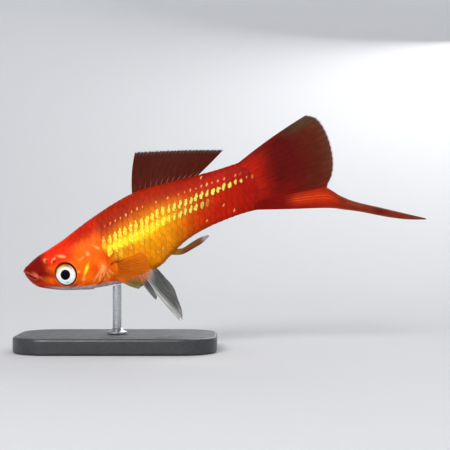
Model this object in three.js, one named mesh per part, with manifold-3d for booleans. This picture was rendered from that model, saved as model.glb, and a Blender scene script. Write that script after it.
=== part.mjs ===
// A life-size male swordtail, a livebearing aquarium fish, swimming head down on a small display stand.
// Millimetres, +Z up, +X from the snout to the tail, the fish's left side towards -Y.
// The origin is the middle of the underside of the stand's base.
//
// The fish is modelled straight, in its own frame: x along the body from the tip of the snout, y to the
// right side, z towards the back. One group then tilts it head down and lifts it onto the rod.
// Heights along the body are given as [x, z] pairs, from the snout (x = 0) to the root of the tail fin.

import * as THREE from "three";
import { LoftGeometry } from "three/addons/geometries/LoftGeometry.js";
import { mergeVertices } from "three/addons/utils/BufferGeometryUtils.js";
import Module from "manifold-3d";

const wasm = await Module();
wasm.setup();

// Driving dimensions of the pose and of the stand
const HEAD_DOWN = THREE.MathUtils.degToRad(19.75); // slope of the body axis
const SNOUT = new THREE.Vector3(-23.4, 0, 19.6); // tip of the snout, from the base's underside
const GAP = 0.3; // clearance between pieces that touch
const BASE = { length: 50, width: 30, height: 4, corner: 9, bevel: 0.6 };
const ROD = { radius: 1.1, x: 0, foot: { radius: 2.6, edge: 0.3, height: 0.7, waist: 0.5, neck: 0.6 } };

// Profiles of the body
const BACK = [
  [0, 0.45], [1.2, 0.95], [4.5, 2.3], [8, 3.1], [12, 4.15], [16, 5.5], [20, 6.7], [25, 8.0],
  [30, 9.0], [34, 9.4], [40, 9.0], [48, 8.15], [55, 7.6], [60, 7.5], [65, 7.4],
];
const BELLY = [
  [0, -0.9], [0.7, -2.7], [2.1, -4.7], [4, -5.9], [7.5, -7.6], [12, -9.15], [17, -10.3], [21, -10.95],
  [24, -11.5], [27.5, -11.6], [30.5, -10.8], [33.5, -10.05], [37.5, -8.0], [41, -6.5], [46, -5.4],
  [52, -4.95], [57, -4.95], [60, -5.2], [65, -5.4],
];
const HALF_WIDTH = [
  [0, 1.0], [1.2, 1.85], [3.5, 2.75], [7, 3.7], [11, 4.3], [16, 4.75], [22, 4.9], [29, 4.6],
  [36, 3.8], [44, 2.9], [52, 2.05], [58, 1.35], [61, 0.95], [65, 0.45],
];
// Height of the widest place, as a share of the depth
const WIDEST_SHARE = [[0, 0.6], [4, 0.56], [10, 0.5], [20, 0.5], [30, 0.52], [45, 0.5], [65, 0.5]];
// Superellipse exponents of the upper and lower halves of the rings
const BACK_SQUARENESS = [[0, 2.3], [6, 2.7], [12, 2.5], [20, 2.1], [65, 2]];
const BELLY_SQUARENESS = [[0, 2.4], [10, 2.2], [25, 2.1], [65, 2]];
const BODY_END = 65;
const RING_POINTS = 36;
const RINGS = [[0, 3, 0.33], [3, 22, 0.85], [22, 50, 1.75], [50, BODY_END, 1.9]]; // from x, to x, spacing

// Where the body is parted
const GILL_EDGE = [
  [20.6, 14], [20.2, 6], [19.9, 1], [20.9, -3], [20.9, -5.6], [19.4, -7.7], [17.2, -9], [14.6, -10.2],
  [12, -14],
];
const PEDUNCLE_START = 48.9;
const TAIL_ROOT = [
  [59.2, 14], [60.2, 7.4], [61.8, 4.2], [62.3, 1.2], [61.8, -1.8], [60.4, -5.1], [59.4, -12],
];
const OUTSIDE = 30; // farther from the body's axis than any of its solids, and farther ahead
const CURVE_STEPS = 28; // straight steps of a parting line

// Head
const GILL_COVER_RAISE = 0.28; // step of the gill cover over the shoulder
const GILL_COVER_REACH = 5.5;
const GILL_COVER_TOP = 1;
const MOUTH = { tip: [-1.2, 0.75], corner: [2.5, -2.75], gap: 0.34, lipHeight: 0.3, lipWidth: 0.55 };
const NOSTRILS = { front: [6.7, 0.4], rear: [8.4, -0.3], radius: 0.34 };
const EYE = { x: 10.3, z: -4.2, radius: 2.72, halfHeight: 2.88, halfDepth: 1.35, bulge: 0.8 };
const EYE_YAW = THREE.MathUtils.degToRad(8); // turned towards the snout
const EYE_DROP = THREE.MathUtils.degToRad(8); // turned towards the belly

// Fins
const MEMBRANE = 0.5; // thickness between the rays
const TIP_THICKNESS = 0.3;
const RAY_RAISE = 0.17; // height of a ray over the membrane, on each face
const RAY_TAPER = 0.6; // share of that height that a ray loses towards its tip
const ROOT_REACH = 0.45; // share of a fin's length over which its root thins out
const TIP_START = 0.75; // share of its length from which the margin thins out
const SLOPE_STEP = 0.01; // share of a fin over which its slope is taken
const PECTORAL_BASE = [22, -7.5];

// A smooth function through [x, value] pairs, with Catmull-Rom slopes
function profile(pairs) {
  const slope = (i) => {
    const before = pairs[Math.max(i - 1, 0)];
    const after = pairs[Math.min(i + 1, pairs.length - 1)];
    return (after[1] - before[1]) / (after[0] - before[0]);
  };
  return (x) => {
    let i = 0;
    while (i < pairs.length - 2 && x > pairs[i + 1][0]) i += 1;
    const [x0, v0] = pairs[i];
    const [x1, v1] = pairs[i + 1];
    const span = x1 - x0;
    const t = THREE.MathUtils.clamp((x - x0) / span, 0, 1);
    const t2 = t * t;
    const t3 = t2 * t;
    return (
      v0 * (2 * t3 - 3 * t2 + 1) +
      slope(i) * span * (t3 - 2 * t2 + t) +
      v1 * (3 * t2 - 2 * t3) +
      slope(i + 1) * span * (t3 - t2)
    );
  };
}

const back = profile(BACK);
const belly = profile(BELLY);
const halfWidth = profile(HALF_WIDTH);
const widestShare = profile(WIDEST_SHARE);
const backSquareness = profile(BACK_SQUARENESS);
const bellySquareness = profile(BELLY_SQUARENESS);
// x of the gill cover's edge at a height
const gillEdge = profile(GILL_EDGE.map(([x, z]) => [z, x]).reverse());

// One ring of the body at x, grown outwards by grow: points [y, z] from the right side, over the back, round
function ring(x, grow = 0) {
  const top = back(x) + grow;
  const bottom = belly(x) - grow;
  const wide = halfWidth(x) + grow;
  const middle = bottom + (top - bottom) * widestShare(x);
  const points = [];
  for (let i = 0; i < RING_POINTS; i += 1) {
    const angle = (i / RING_POINTS) * 2 * Math.PI;
    const c = Math.cos(angle);
    const s = Math.sin(angle);
    const power = 2 / (s >= 0 ? backSquareness(x) : bellySquareness(x));
    const reach = s >= 0 ? top - middle : middle - bottom;
    const y = wide * Math.sign(c) * Math.abs(c) ** power;
    const z = middle + reach * Math.sign(s) * Math.abs(s) ** power;
    points.push([y, z]);
  }
  return points;
}

// Half width of the body at x and height z
function sideAt(x, z) {
  const top = back(x);
  const bottom = belly(x);
  const middle = bottom + (top - bottom) * widestShare(x);
  const n = z >= middle ? backSquareness(x) : bellySquareness(x);
  const reach = z >= middle ? top - middle : middle - bottom;
  return halfWidth(x) * Math.max(0, 1 - (Math.abs(z - middle) / reach) ** n) ** (1 / n);
}

// Distance from (x, z) to the line of the mouth, seen from the side
function mouthDistance(x, z) {
  const tip = new THREE.Vector2(...MOUTH.tip);
  const line = new THREE.Vector2(...MOUTH.corner).sub(tip);
  const point = new THREE.Vector2(x, z).sub(tip);
  const share = THREE.MathUtils.clamp(point.dot(line) / line.lengthSq(), 0, 1);
  return point.sub(line.multiplyScalar(share)).length();
}

// How far the skin stands out over the plain rings: the lips and the gill cover
function relief(x, z) {
  const lips = MOUTH.lipHeight * Math.exp(-((mouthDistance(x, z) / MOUTH.lipWidth) ** 2));
  const ahead = gillEdge(z) - x;
  const onCover = ahead >= 0 && z <= GILL_COVER_TOP;
  const cover = onCover ? GILL_COVER_RAISE * Math.max(0, 1 - ahead / GILL_COVER_REACH) : 0;
  return lips + cover;
}

// The body as one loft, with rings closer together at the head
function bodyGeometry(grow = 0) {
  const stations = [];
  for (const [start, end, step] of RINGS) {
    const count = Math.round((end - start) / step);
    for (let i = 0; i < count; i += 1) stations.push(start + ((end - start) * i) / count);
  }
  stations.push(BODY_END);
  const sections = stations.map((x, i) => {
    const shift = i === 0 ? -grow : 0;
    return ring(x, grow).map(([y, z]) => {
      const out = new THREE.Vector2(y, z - (back(x) + belly(x)) / 2).normalize().multiplyScalar(relief(x, z));
      return new THREE.Vector3(x + shift, y + out.x, z + out.y);
    });
  });
  return new LoftGeometry(sections, { capStart: true, capEnd: true });
}

// Geometry to solid and back
function solidOf(geometry) {
  const bare = new THREE.BufferGeometry();
  bare.setAttribute("position", geometry.getAttribute("position"));
  bare.setIndex(geometry.index);
  const merged = mergeVertices(bare, 1e-4);
  const made = new wasm.Manifold(
    new wasm.Mesh({
      numProp: 3,
      vertProperties: merged.attributes.position.array,
      triVerts: new Uint32Array(merged.index.array),
    }),
  );
  return made.volume() < 0 ? made.mirror([0, 0, 0]) : made;
}

function geometryOf(solid) {
  const pieces = solid.decompose().sort((a, b) => b.volume() - a.volume());
  const mesh = pieces[0].simplify(0.01).getMesh();
  const geometry = new THREE.BufferGeometry();
  geometry.setAttribute("position", new THREE.BufferAttribute(new Float32Array(mesh.vertProperties), 3));
  geometry.setIndex(new THREE.BufferAttribute(new Uint32Array(mesh.triVerts), 1));
  geometry.computeVertexNormals();
  return geometry;
}

// A slab across the whole width whose side view is the polygon of [x, z] points
function slab(points) {
  const shape = new THREE.Shape(points.map(([x, z]) => new THREE.Vector2(x, z)));
  const geometry = new THREE.ExtrudeGeometry(shape, { depth: 2 * OUTSIDE, bevelEnabled: false });
  return solidOf(geometry.rotateX(Math.PI / 2).translate(0, OUTSIDE, 0));
}

// Everything ahead of x
function before(x) {
  return slab([[-OUTSIDE, -OUTSIDE], [x, -OUTSIDE], [x, OUTSIDE], [-OUTSIDE, OUTSIDE]]);
}

// Everything ahead of a curved line seen from the side, with the line moved back by shift
function aheadOf(line, shift = 0) {
  const curve = new THREE.SplineCurve(line.map(([x, z]) => new THREE.Vector2(x + shift, z)));
  const edge = curve.getPoints(CURVE_STEPS).map((p) => [p.x, p.y]);
  return slab([[-OUTSIDE, line[0][1]], ...edge, [-OUTSIDE, line[line.length - 1][1]]]);
}

// An ellipsoid for an eye, grown outwards by grow
function eyeSolid(side, grow = 0) {
  const geometry = new THREE.SphereGeometry(1, 22, 12);
  geometry.scale(EYE.radius + grow, EYE.halfDepth + grow, EYE.halfHeight + grow);
  geometry.rotateX(-side * EYE_DROP).rotateZ(side * EYE_YAW);
  const out = sideAt(EYE.x, EYE.z) + EYE.bulge - EYE.halfDepth;
  return solidOf(geometry.translate(EYE.x, side * out, EYE.z));
}

function nostril([x, z], side) {
  const geometry = new THREE.SphereGeometry(NOSTRILS.radius, 10, 8);
  return solidOf(geometry.translate(x, side * sideAt(x, z), z));
}

// A thin fin as a closed sheet: point(s, t) runs over its rays (s) and from root to margin (t).
// Both faces are split into triangles alike, and the rays stand out as ridges.
function finGeometry({ point, rays, rows, rootThickness = MEMBRANE, notch = 0.03 }) {
  const columns = (rays - 1) * 3;
  const faces = [[], []];
  for (let i = 0; i <= rows; i += 1) {
    for (let j = 0; j <= columns; j += 1) {
      const s = j / columns;
      const onRay = j % 3 === 0;
      const t = (i / rows) * (onRay ? 1 : 1 - notch);
      const here = point(s, t);
      const alongS = point(Math.min(s + SLOPE_STEP, 1), t).sub(point(Math.max(s - SLOPE_STEP, 0), t));
      const alongT = point(s, Math.min(t + SLOPE_STEP, 1)).sub(point(s, Math.max(t - SLOPE_STEP, 0)));
      const normal = alongS.cross(alongT).normalize();
      const thinning = THREE.MathUtils.smoothstep(t, TIP_START, 1);
      const body = THREE.MathUtils.lerp(MEMBRANE, TIP_THICKNESS, thinning);
      const root = (rootThickness - MEMBRANE) * (1 - THREE.MathUtils.smoothstep(t, 0, ROOT_REACH));
      const ridge = onRay ? 2 * RAY_RAISE * (1 - RAY_TAPER * t) : 0;
      const half = (body + root + ridge) / 2;
      faces[0].push(here.clone().addScaledVector(normal, half));
      faces[1].push(here.clone().addScaledVector(normal, -half));
    }
  }
  const count = (columns + 1) * (rows + 1);
  const index = [];
  const quad = (a, b, c, d) => index.push(a, b, d, b, c, d);
  for (let i = 0; i < rows; i += 1) {
    for (let j = 0; j < columns; j += 1) {
      const a = i * (columns + 1) + j;
      const b = a + 1;
      const c = b + columns + 1;
      const d = a + columns + 1;
      quad(a, b, c, d);
      quad(a + count, d + count, c + count, b + count);
    }
  }
  for (let j = 0; j < columns; j += 1) {
    const last = rows * (columns + 1) + j;
    quad(j + count, j + 1 + count, j + 1, j);
    quad(last, last + 1, last + 1 + count, last + count);
  }
  for (let i = 0; i < rows; i += 1) {
    const first = i * (columns + 1);
    const end = first + columns;
    quad(first, first + columns + 1, first + columns + 1 + count, first + count);
    quad(end + count, end + columns + 1 + count, end + columns + 1, end);
  }
  const geometry = new THREE.BufferGeometry();
  const vertices = [...faces[0], ...faces[1]].flatMap((p) => [p.x, p.y, p.z]);
  geometry.setAttribute("position", new THREE.Float32BufferAttribute(vertices, 3));
  geometry.setIndex(index);
  return geometry;
}

const curve3 = (points) => new THREE.CatmullRomCurve3(points.map((p) => new THREE.Vector3(...p)));

// A fan of rays from a root line to a margin; bow(s) is how far a ray's middle bends, as a vector
function fan(root, margin, bow) {
  const from = curve3(root);
  const to = curve3(margin);
  return (s, t) => {
    const a = from.getPointAt(s);
    const c = to.getPointAt(s);
    const b = a.clone().add(c).multiplyScalar(0.5).add(bow(s));
    return new THREE.QuadraticBezierCurve3(a, b, c).getPoint(t);
  };
}

// A strip between two edges, with its rays running along it
function strip(first, last) {
  const a = curve3(first);
  const b = curve3(last);
  return (s, t) => a.getPointAt(t).lerp(b.getPointAt(t), s);
}

const body = solidOf(bodyGeometry());
const grownBody = solidOf(bodyGeometry(GAP));

// Head, trunk and tail stalk
function headSolid() {
  const tip = new THREE.Vector2(...MOUTH.tip);
  const corner = new THREE.Vector2(...MOUTH.corner);
  const across = corner.clone().sub(tip).normalize().rotateAround(new THREE.Vector2(), Math.PI / 2);
  across.multiplyScalar(MOUTH.gap / 2);
  const slit = slab([
    [tip.x + across.x, tip.y + across.y],
    [corner.x, corner.y],
    [tip.x - across.x, tip.y - across.y],
  ]);
  let made = body.intersect(aheadOf(GILL_EDGE)).subtract(slit);
  for (const side of [-1, 1]) {
    made = made.subtract(eyeSolid(side, GAP));
    made = made.subtract(nostril(NOSTRILS.front, side)).subtract(nostril(NOSTRILS.rear, side));
  }
  return made;
}

function trunkSolid() {
  return body.subtract(aheadOf(GILL_EDGE, GAP)).intersect(before(PEDUNCLE_START - GAP));
}

function peduncleSolid() {
  return body.intersect(aheadOf(TAIL_ROOT)).subtract(before(PEDUNCLE_START));
}

// Fins
function dorsalFin() {
  const point = fan(
    [[32.0, 0, 8.6], [36, 0, 8.6], [42, 0, 8.0], [47.8, 0, 7.3]],
    [[36.5, 0, 18.9], [43, 0.25, 16.9], [50, -0.2, 14.6], [57.6, 0.15, 11.9]],
    (s) => new THREE.Vector3(-0.9 + 0.6 * s, 0, 0.5 - 0.9 * s),
  );
  return solidOf(finGeometry({ point, rays: 13, rows: 6, rootThickness: 0.9 })).subtract(grownBody);
}

const SWORD_TOP = [
  [59.8, 0, -3.0], [69, 0, -4.2], [77.8, 0, -5.7], [79.4, 0, -7.0], [80.9, 0, -8.9], [84, 0, -11.6],
  [89.4, 0, -15.1], [94, 0, -18.1], [99.2, 0, -21.5],
];
const SWORD_BOTTOM = [
  [59.6, 0, -5.0], [67.9, 0, -7.8], [75.1, 0, -10.1], [78.5, 0, -11.4], [80.6, 0, -12.5], [84.3, 0, -14.4],
  [90.2, 0, -17.9], [94.8, 0, -20.2], [99.3, 0, -21.85],
];

const beforeTail = aheadOf(TAIL_ROOT, GAP);

function swordFin() {
  const geometry = finGeometry({
    point: strip(SWORD_TOP, SWORD_BOTTOM),
    rays: 5,
    rows: 16,
    rootThickness: 1.1,
    notch: 0,
  });
  return solidOf(geometry).subtract(beforeTail);
}

function caudalFin() {
  const point = fan(
    [[59.2, 0, 7.2], [60.6, 0, 4], [61, 0, 1.2], [60.6, 0, -1.4], [59.8, 0, -4]],
    [
      [80.0, 0, 13.0], [82.3, 0, 11.2], [83.3, 0, 7.4], [83.2, 0, 3], [82.4, 0, -0.6], [81.0, 0, -3.4],
      [79.3, 0, -5.2], [78.6, 0, -6.4],
    ],
    (s) => new THREE.Vector3(0, 0, 0.9 - 1.6 * s),
  );
  const geometry = finGeometry({ point, rays: 15, rows: 8, rootThickness: 1.2 });
  const lifted = curve3(SWORD_TOP).getPoints(CURVE_STEPS).map((p) => [p.x + GAP / 2, p.z + GAP]);
  const start = lifted[0];
  const end = lifted[lifted.length - 1];
  const swordRegion = slab([[start[0], -OUTSIDE], ...lifted, [end[0], -OUTSIDE]]);
  return solidOf(geometry).subtract(beforeTail).subtract(swordRegion);
}

function gonopodium() {
  const point = strip(
    [[36.8, 0, -7.2], [39.4, 0, -7.9], [42.2, 0, -7.3], [44.6, 0, -6.9], [46.6, 0, -7.0]],
    [[35.4, 0, -8.2], [38.6, 0, -9.35], [42.2, 0, -8.9], [44.8, 0, -8.3], [46.8, 0, -7.35]],
  );
  const geometry = finGeometry({ point, rays: 4, rows: 9, rootThickness: 1.0, notch: 0 });
  return solidOf(geometry).subtract(grownBody);
}

// A pelvic fin is a short front lobe and a long blade behind it, from one root.
// Its points are [x, distance to the side, z].
const PELVIC = {
  left: {
    lobe: {
      root: [[26.8, 1.7, -10.3], [28.2, 1.5, -10.3]],
      margin: [[28.6, 3.2, -17.1], [29.1, 3.2, -17.8], [29.6, 3.2, -17.1]],
      bend: [-0.6, 0],
      rays: 3,
    },
    blade: {
      root: [[27.7, 1.6, -10.3], [28.9, 1.4, -10.2], [30.2, 1.2, -9.9]],
      margin: [[32.9, 3.4, -24.8], [33.5, 3.4, -22.8], [33.4, 3.4, -20], [33, 3.4, -17.5], [31.6, 3.3, -14]],
      bend: [-0.7, 0.6],
      rays: 6,
    },
  },
  right: {
    lobe: {
      root: [[27.6, 1.7, -10.3], [29, 1.5, -10.2]],
      margin: [[29.9, 2.8, -16.8], [30.5, 2.8, -17.4], [31, 2.8, -16.7]],
      bend: [-0.5, 0],
      rays: 3,
    },
    blade: {
      root: [[28.4, 1.6, -10.3], [29.6, 1.4, -10.1], [30.8, 1.2, -9.7]],
      margin: [[33.3, 3, -25.2], [33.9, 3, -22.9], [33.9, 3, -19.7], [33.8, 3, -16.4], [32.1, 2.9, -12.5]],
      bend: [-0.5, 0.6],
      rays: 6,
    },
  },
};

function pelvicFin(side) {
  const { lobe, blade } = side < 0 ? PELVIC.left : PELVIC.right;
  const onSide = (points) => points.map(([x, y, z]) => [x, side * y, z]);
  const sheet = ({ root, margin, bend, rays }) => {
    const bow = (s) => new THREE.Vector3(THREE.MathUtils.lerp(...bend, s), side * 0.5, 0);
    const point = fan(onSide(root), onSide(margin), bow);
    return solidOf(finGeometry({ point, rays, rows: 8, rootThickness: 0.8, notch: 0.05 }));
  };
  return sheet(lobe).add(sheet(blade)).subtract(grownBody);
}

function pectoralFin(side) {
  const at = (x, z, sunk) => [x, side * (sideAt(x, z) - sunk), z];
  const out = (x, lift, z) => [x, side * (sideAt(...PECTORAL_BASE) + lift), z];
  const point = fan(
    [at(21.9, -5.7, 0.6), at(21.7, -7.3, 0.6), at(21.2, -8.9, 0.6)],
    [
      out(30.2, 1.9, -5.2), out(31.2, 2.2, -8.2), out(30.4, 2.3, -10.9), out(28.6, 2.2, -12.7),
      out(26.3, 1.9, -13.8),
    ],
    (s) => new THREE.Vector3(-0.2, side * 0.9, -0.9 * s),
  );
  const geometry = finGeometry({ point, rays: 9, rows: 6, rootThickness: 0.9, notch: 0.05 });
  return solidOf(geometry).subtract(grownBody);
}

// Display stand
function baseGeometry() {
  const { length, width, height, corner, bevel } = BASE;
  const x = length / 2 - bevel;
  const y = width / 2 - bevel;
  const r = corner - bevel;
  const shape = new THREE.Shape();
  shape.absarc(x - r, y - r, r, 0, Math.PI / 2);
  shape.absarc(r - x, y - r, r, Math.PI / 2, Math.PI);
  shape.absarc(r - x, r - y, r, Math.PI, 1.5 * Math.PI);
  shape.absarc(x - r, r - y, r, 1.5 * Math.PI, 2 * Math.PI);
  const geometry = new THREE.ExtrudeGeometry(shape, {
    depth: height - 2 * bevel,
    bevelThickness: bevel,
    bevelSize: bevel,
    bevelSegments: 2,
    curveSegments: 6,
  });
  return geometryOf(solidOf(geometry.translate(0, 0, bevel)));
}

function rodGeometry(fishMatrix) {
  const { radius, foot } = ROD;
  const start = BASE.height + GAP;
  const outline = [
    [0, start], [foot.radius, start], [foot.radius, start + foot.edge],
    [radius + foot.waist, start + foot.height], [radius, start + foot.height + foot.neck],
    [radius, SNOUT.z], [0, SNOUT.z],
  ];
  const lathe = new THREE.LatheGeometry(outline.map((p) => new THREE.Vector2(...p)), 20);
  lathe.rotateX(Math.PI / 2);
  const upright = solidOf(lathe.translate(ROD.x, 0, 0));
  const placedBody = solidOf(bodyGeometry(GAP).applyMatrix4(fishMatrix));
  return geometryOf(upright.subtract(placedBody));
}

// Colours
const paint = (color, roughness, metalness = 0) =>
  new THREE.MeshStandardMaterial({ color, roughness, metalness });
const headRed = paint("#e2380d", 0.3);
const bodyOrange = paint("#ee6a10", 0.3);
const tailRed = paint("#c3200c", 0.3);
const finRed = paint("#8e1a0c", 0.4);
const finPale = paint("#c9c2b4", 0.4);
const pectoralOrange = paint("#e58a3a", 0.4);
const eyeSilver = paint("#eef2ee", 0.15);
const standBlack = paint("#2a2b2d", 0.5);
const rodSteel = paint("#b8babd", 0.3, 1);

const named = (name, geometry, material) => {
  const mesh = new THREE.Mesh(geometry, material);
  mesh.name = name;
  return mesh;
};

const fish = new THREE.Group();
fish.rotation.y = -HEAD_DOWN;
fish.position.copy(SNOUT);
fish.updateMatrix();
fish.add(
  named("head", geometryOf(headSolid()), headRed),
  named("trunk", geometryOf(trunkSolid()), bodyOrange),
  named("tail_stalk", geometryOf(peduncleSolid()), tailRed),
  named("dorsal_fin", geometryOf(dorsalFin()), finRed),
  named("caudal_fin", geometryOf(caudalFin()), finRed),
  named("sword", geometryOf(swordFin()), tailRed),
  named("gonopodium", geometryOf(gonopodium()), finPale),
  named("eye_left", geometryOf(eyeSolid(-1)), eyeSilver),
  named("eye_right", geometryOf(eyeSolid(1)), eyeSilver),
  named("pelvic_fin_left", geometryOf(pelvicFin(-1)), finPale),
  named("pelvic_fin_right", geometryOf(pelvicFin(1)), finPale),
  named("pectoral_fin_left", geometryOf(pectoralFin(-1)), pectoralOrange),
  named("pectoral_fin_right", geometryOf(pectoralFin(1)), pectoralOrange),
);

const part = new THREE.Group();
part.add(
  fish,
  named("stand_base", baseGeometry(), standBlack),
  named("stand_rod", rodGeometry(fish.matrix), rodSteel),
);

export default part;
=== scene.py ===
"""A life-size male swordtail on a small display stand, with its skin, scales, rayed fins and eyes.

The fish is worked out straight, in its own frame, in millimetres: x from the tip of the snout towards the
tail, y to its right side and z towards its back. place() tilts it head down over the stand, in metres.
"""

import math

import bpy
import numpy as np
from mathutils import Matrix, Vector


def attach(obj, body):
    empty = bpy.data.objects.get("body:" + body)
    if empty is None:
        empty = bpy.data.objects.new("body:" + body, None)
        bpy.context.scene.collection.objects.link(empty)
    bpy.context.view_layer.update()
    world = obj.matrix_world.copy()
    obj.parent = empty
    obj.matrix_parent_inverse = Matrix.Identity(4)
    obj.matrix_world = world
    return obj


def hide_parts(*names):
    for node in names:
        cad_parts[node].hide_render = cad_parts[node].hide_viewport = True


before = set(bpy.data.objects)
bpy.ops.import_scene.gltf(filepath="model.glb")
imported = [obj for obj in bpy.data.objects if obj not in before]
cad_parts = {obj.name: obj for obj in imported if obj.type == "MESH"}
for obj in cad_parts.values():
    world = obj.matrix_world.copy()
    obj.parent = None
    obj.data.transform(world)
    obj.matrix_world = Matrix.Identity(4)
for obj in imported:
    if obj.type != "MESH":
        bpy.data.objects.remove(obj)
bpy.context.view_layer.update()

MM = 0.001
TURN = 2 * math.pi

# The pose, as the solids have it
HEAD_DOWN = math.radians(19.75)
SNOUT = (-23.4, 0.0, 19.6)

# Chance for the scales, the same in each run
RNG = np.random.default_rng(7)

# Profiles of the body: heights of the back and the belly, and half the width, at places along it
BACK = [
    (0, 0.45), (1.2, 0.95), (4.5, 2.3), (8, 3.1), (12, 4.15), (16, 5.5), (20, 6.7), (25, 8.0),
    (30, 9.0), (34, 9.4), (40, 9.0), (48, 8.15), (55, 7.6), (60, 7.5), (65, 7.4),
]
BELLY = [
    (0, -0.9), (0.7, -2.7), (2.1, -4.7), (4, -5.9), (7.5, -7.6), (12, -9.15), (17, -10.3), (21, -10.95),
    (24, -11.5), (27.5, -11.6), (30.5, -10.8), (33.5, -10.05), (37.5, -8.0), (41, -6.5), (46, -5.4),
    (52, -4.95), (57, -4.95), (60, -5.2), (65, -5.4),
]
HALF_WIDTH = [
    (0, 1.0), (1.2, 1.85), (3.5, 2.75), (7, 3.7), (11, 4.3), (16, 4.75), (22, 4.9), (29, 4.6),
    (36, 3.8), (44, 2.9), (52, 2.05), (58, 1.35), (61, 0.95), (65, 0.45),
]
WIDEST_SHARE = [(0, 0.6), (4, 0.56), (10, 0.5), (20, 0.5), (30, 0.52), (45, 0.5), (65, 0.5)]
BACK_SQUARENESS = [(0, 2.3), (6, 2.7), (12, 2.5), (20, 2.1), (65, 2)]
BELLY_SQUARENESS = [(0, 2.4), (10, 2.2), (25, 2.1), (65, 2)]
GILL_EDGE = [
    (20.6, 14), (20.2, 6), (19.9, 1), (20.9, -3), (20.9, -5.6), (19.4, -7.7), (17.2, -9), (14.6, -10.2),
    (12, -14),
]
TAIL_ROOT = [(59.2, 14), (60.2, 7.4), (61.8, 4.2), (62.3, 1.2), (61.8, -1.8), (60.4, -5.1), (59.4, -12)]
# How far the skin reaches past the root of the tail fin, over what length it narrows, and to what share
TAIL_OVERLAP, TAIL_NARROWS, TAIL_THIN = 0.2, 1.6, 0.6
# The lateral row of scales, which carries the brightest bars, and the line of specks above it
LATERAL_ROW = [(12, -0.4), (20, -0.3), (26, 0.55), (33, 1.7), (42, 2.4), (53, 2.85), (65, 2.75)]
SPECK_ROW = [(22, 3.4), (28, 4.3), (33, 5.0), (44, 5.0), (53, 4.9), (60, 4.6)]

# Head
EYE = {"x": 10.3, "z": -4.2, "radius": 2.72, "half_height": 2.88, "half_depth": 1.35, "bulge": 0.8}
EYE_YAW = math.radians(8)
EYE_DROP = math.radians(8)
SOCKET_DEPTH, SOCKET_SLOPE = 1.5, 0.35
NOSE_ROUND = 1.1
# Lines of the side view, as (x, z) points, and nostrils as (x, z, radius)
MOUTH = [(-1.2, 0.75), (2.5, -2.75)]
JAW_FOLD = [(2.9, -1.2), (3.4, -3.2)]
PREOPERCLE = [(14.2, -0.6), (15.6, -3.2), (15.6, -5.8), (13.6, -7.7), (10.4, -8.0)]
THROAT_FOLD = [(13.2, -9.0), (18.0, -8.2), (20.2, -6.6)]
NOSTRILS = [(6.7, 0.4, 0.26), (8.4, -0.3, 0.32)]
LIP_OFFSET, LIP_WIDTH = 0.42, 0.3
MOUTH_SLIT_DEPTH, MOUTH_SLIT_WIDTH = 0.42, 0.1
# Muscle at the root of the pectoral fin: x, z, half length, half height, rise
FIN_MUSCLE = (22.4, -7.3, 1.1, 1.9, 0.3)
# The gill cover rises towards its free edge and lies flat above its top
COVER_RISE, COVER_LENGTH = 0.28, 5.5
COVER_TOP = (1.6, -0.2)

# Scales: their spacing, reach from the root to the rear, the front and the side, and height at front and rear
PITCH = 1.47
ROW_STEP = 2.15
SCALE_REAR, SCALE_FRONT, SCALE_HALF = 1.35, 1.3, 1.95
SCALE_THICK = 0.05
SCALE_LIFT = (-0.07, 0.13)
SCALE_DOME = 0.05
COAT_DEPTH = 0.14

# Length of a joint of a fin ray
RAY_JOINT = 0.55

# Length along the body that fills the map for baking, and how large a scale's patch is on it for the scale
MAP_LENGTH = 65
MAP_SHARE = 0.5


def profile(pairs):
    """A smooth function through (place, value) pairs, with Catmull-Rom slopes."""
    places, values = np.array(pairs, float).T
    order = np.argsort(places)
    places, values = places[order], values[order]
    before = np.maximum(np.arange(len(places)) - 1, 0)
    after = np.minimum(np.arange(len(places)) + 1, len(places) - 1)
    slopes = (values[after] - values[before]) / (places[after] - places[before])

    def at(x):
        i = np.clip(np.searchsorted(places, x, side="right") - 1, 0, len(places) - 2)
        span = places[i + 1] - places[i]
        t = np.clip((x - places[i]) / span, 0, 1)
        return (
            values[i] * (2 * t**3 - 3 * t**2 + 1)
            + slopes[i] * span * (t**3 - 2 * t**2 + t)
            + values[i + 1] * (3 * t**2 - 2 * t**3)
            + slopes[i + 1] * span * (t**3 - t**2)
        )

    return at


back, belly, half_width = profile(BACK), profile(BELLY), profile(HALF_WIDTH)
widest_share = profile(WIDEST_SHARE)
back_squareness, belly_squareness = profile(BACK_SQUARENESS), profile(BELLY_SQUARENESS)
gill_edge = profile([(z, x) for x, z in GILL_EDGE])
tail_root = profile([(z, x) for x, z in TAIL_ROOT])
lateral_row = profile(LATERAL_ROW)
speck_row = profile(SPECK_ROW)


def smooth(low, high, x):
    t = np.clip((np.asarray(x, float) - low) / (high - low), 0, 1)
    return t * t * (3 - 2 * t)


def hump(x, width):
    """1 at x = 0, falling off as a bell of this width."""
    return np.exp(-((np.asarray(x, float) / width) ** 2))


def srgb(red, green, blue):
    """Scene-linear colour of an 8-bit screen colour."""
    c = np.array([red, green, blue], float) / 255
    return np.where(c <= 0.04045, c / 12.92, ((c + 0.055) / 1.055) ** 2.4)


def unit(v):
    return v / np.maximum(np.linalg.norm(v, axis=-1, keepdims=True), 1e-12)


def place(points):
    """Fish frame in millimetres to the row frame in metres."""
    x, y, z = np.moveaxis(np.asarray(points, float), -1, 0)
    c, s = math.cos(HEAD_DOWN), math.sin(HEAD_DOWN)
    out = np.stack([SNOUT[0] + x * c - z * s, SNOUT[1] + y, SNOUT[2] + x * s + z * c], -1)
    return out * MM


def around(sides):
    """Angles evenly spaced over a full turn."""
    return np.arange(sides) / sides * TURN


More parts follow.
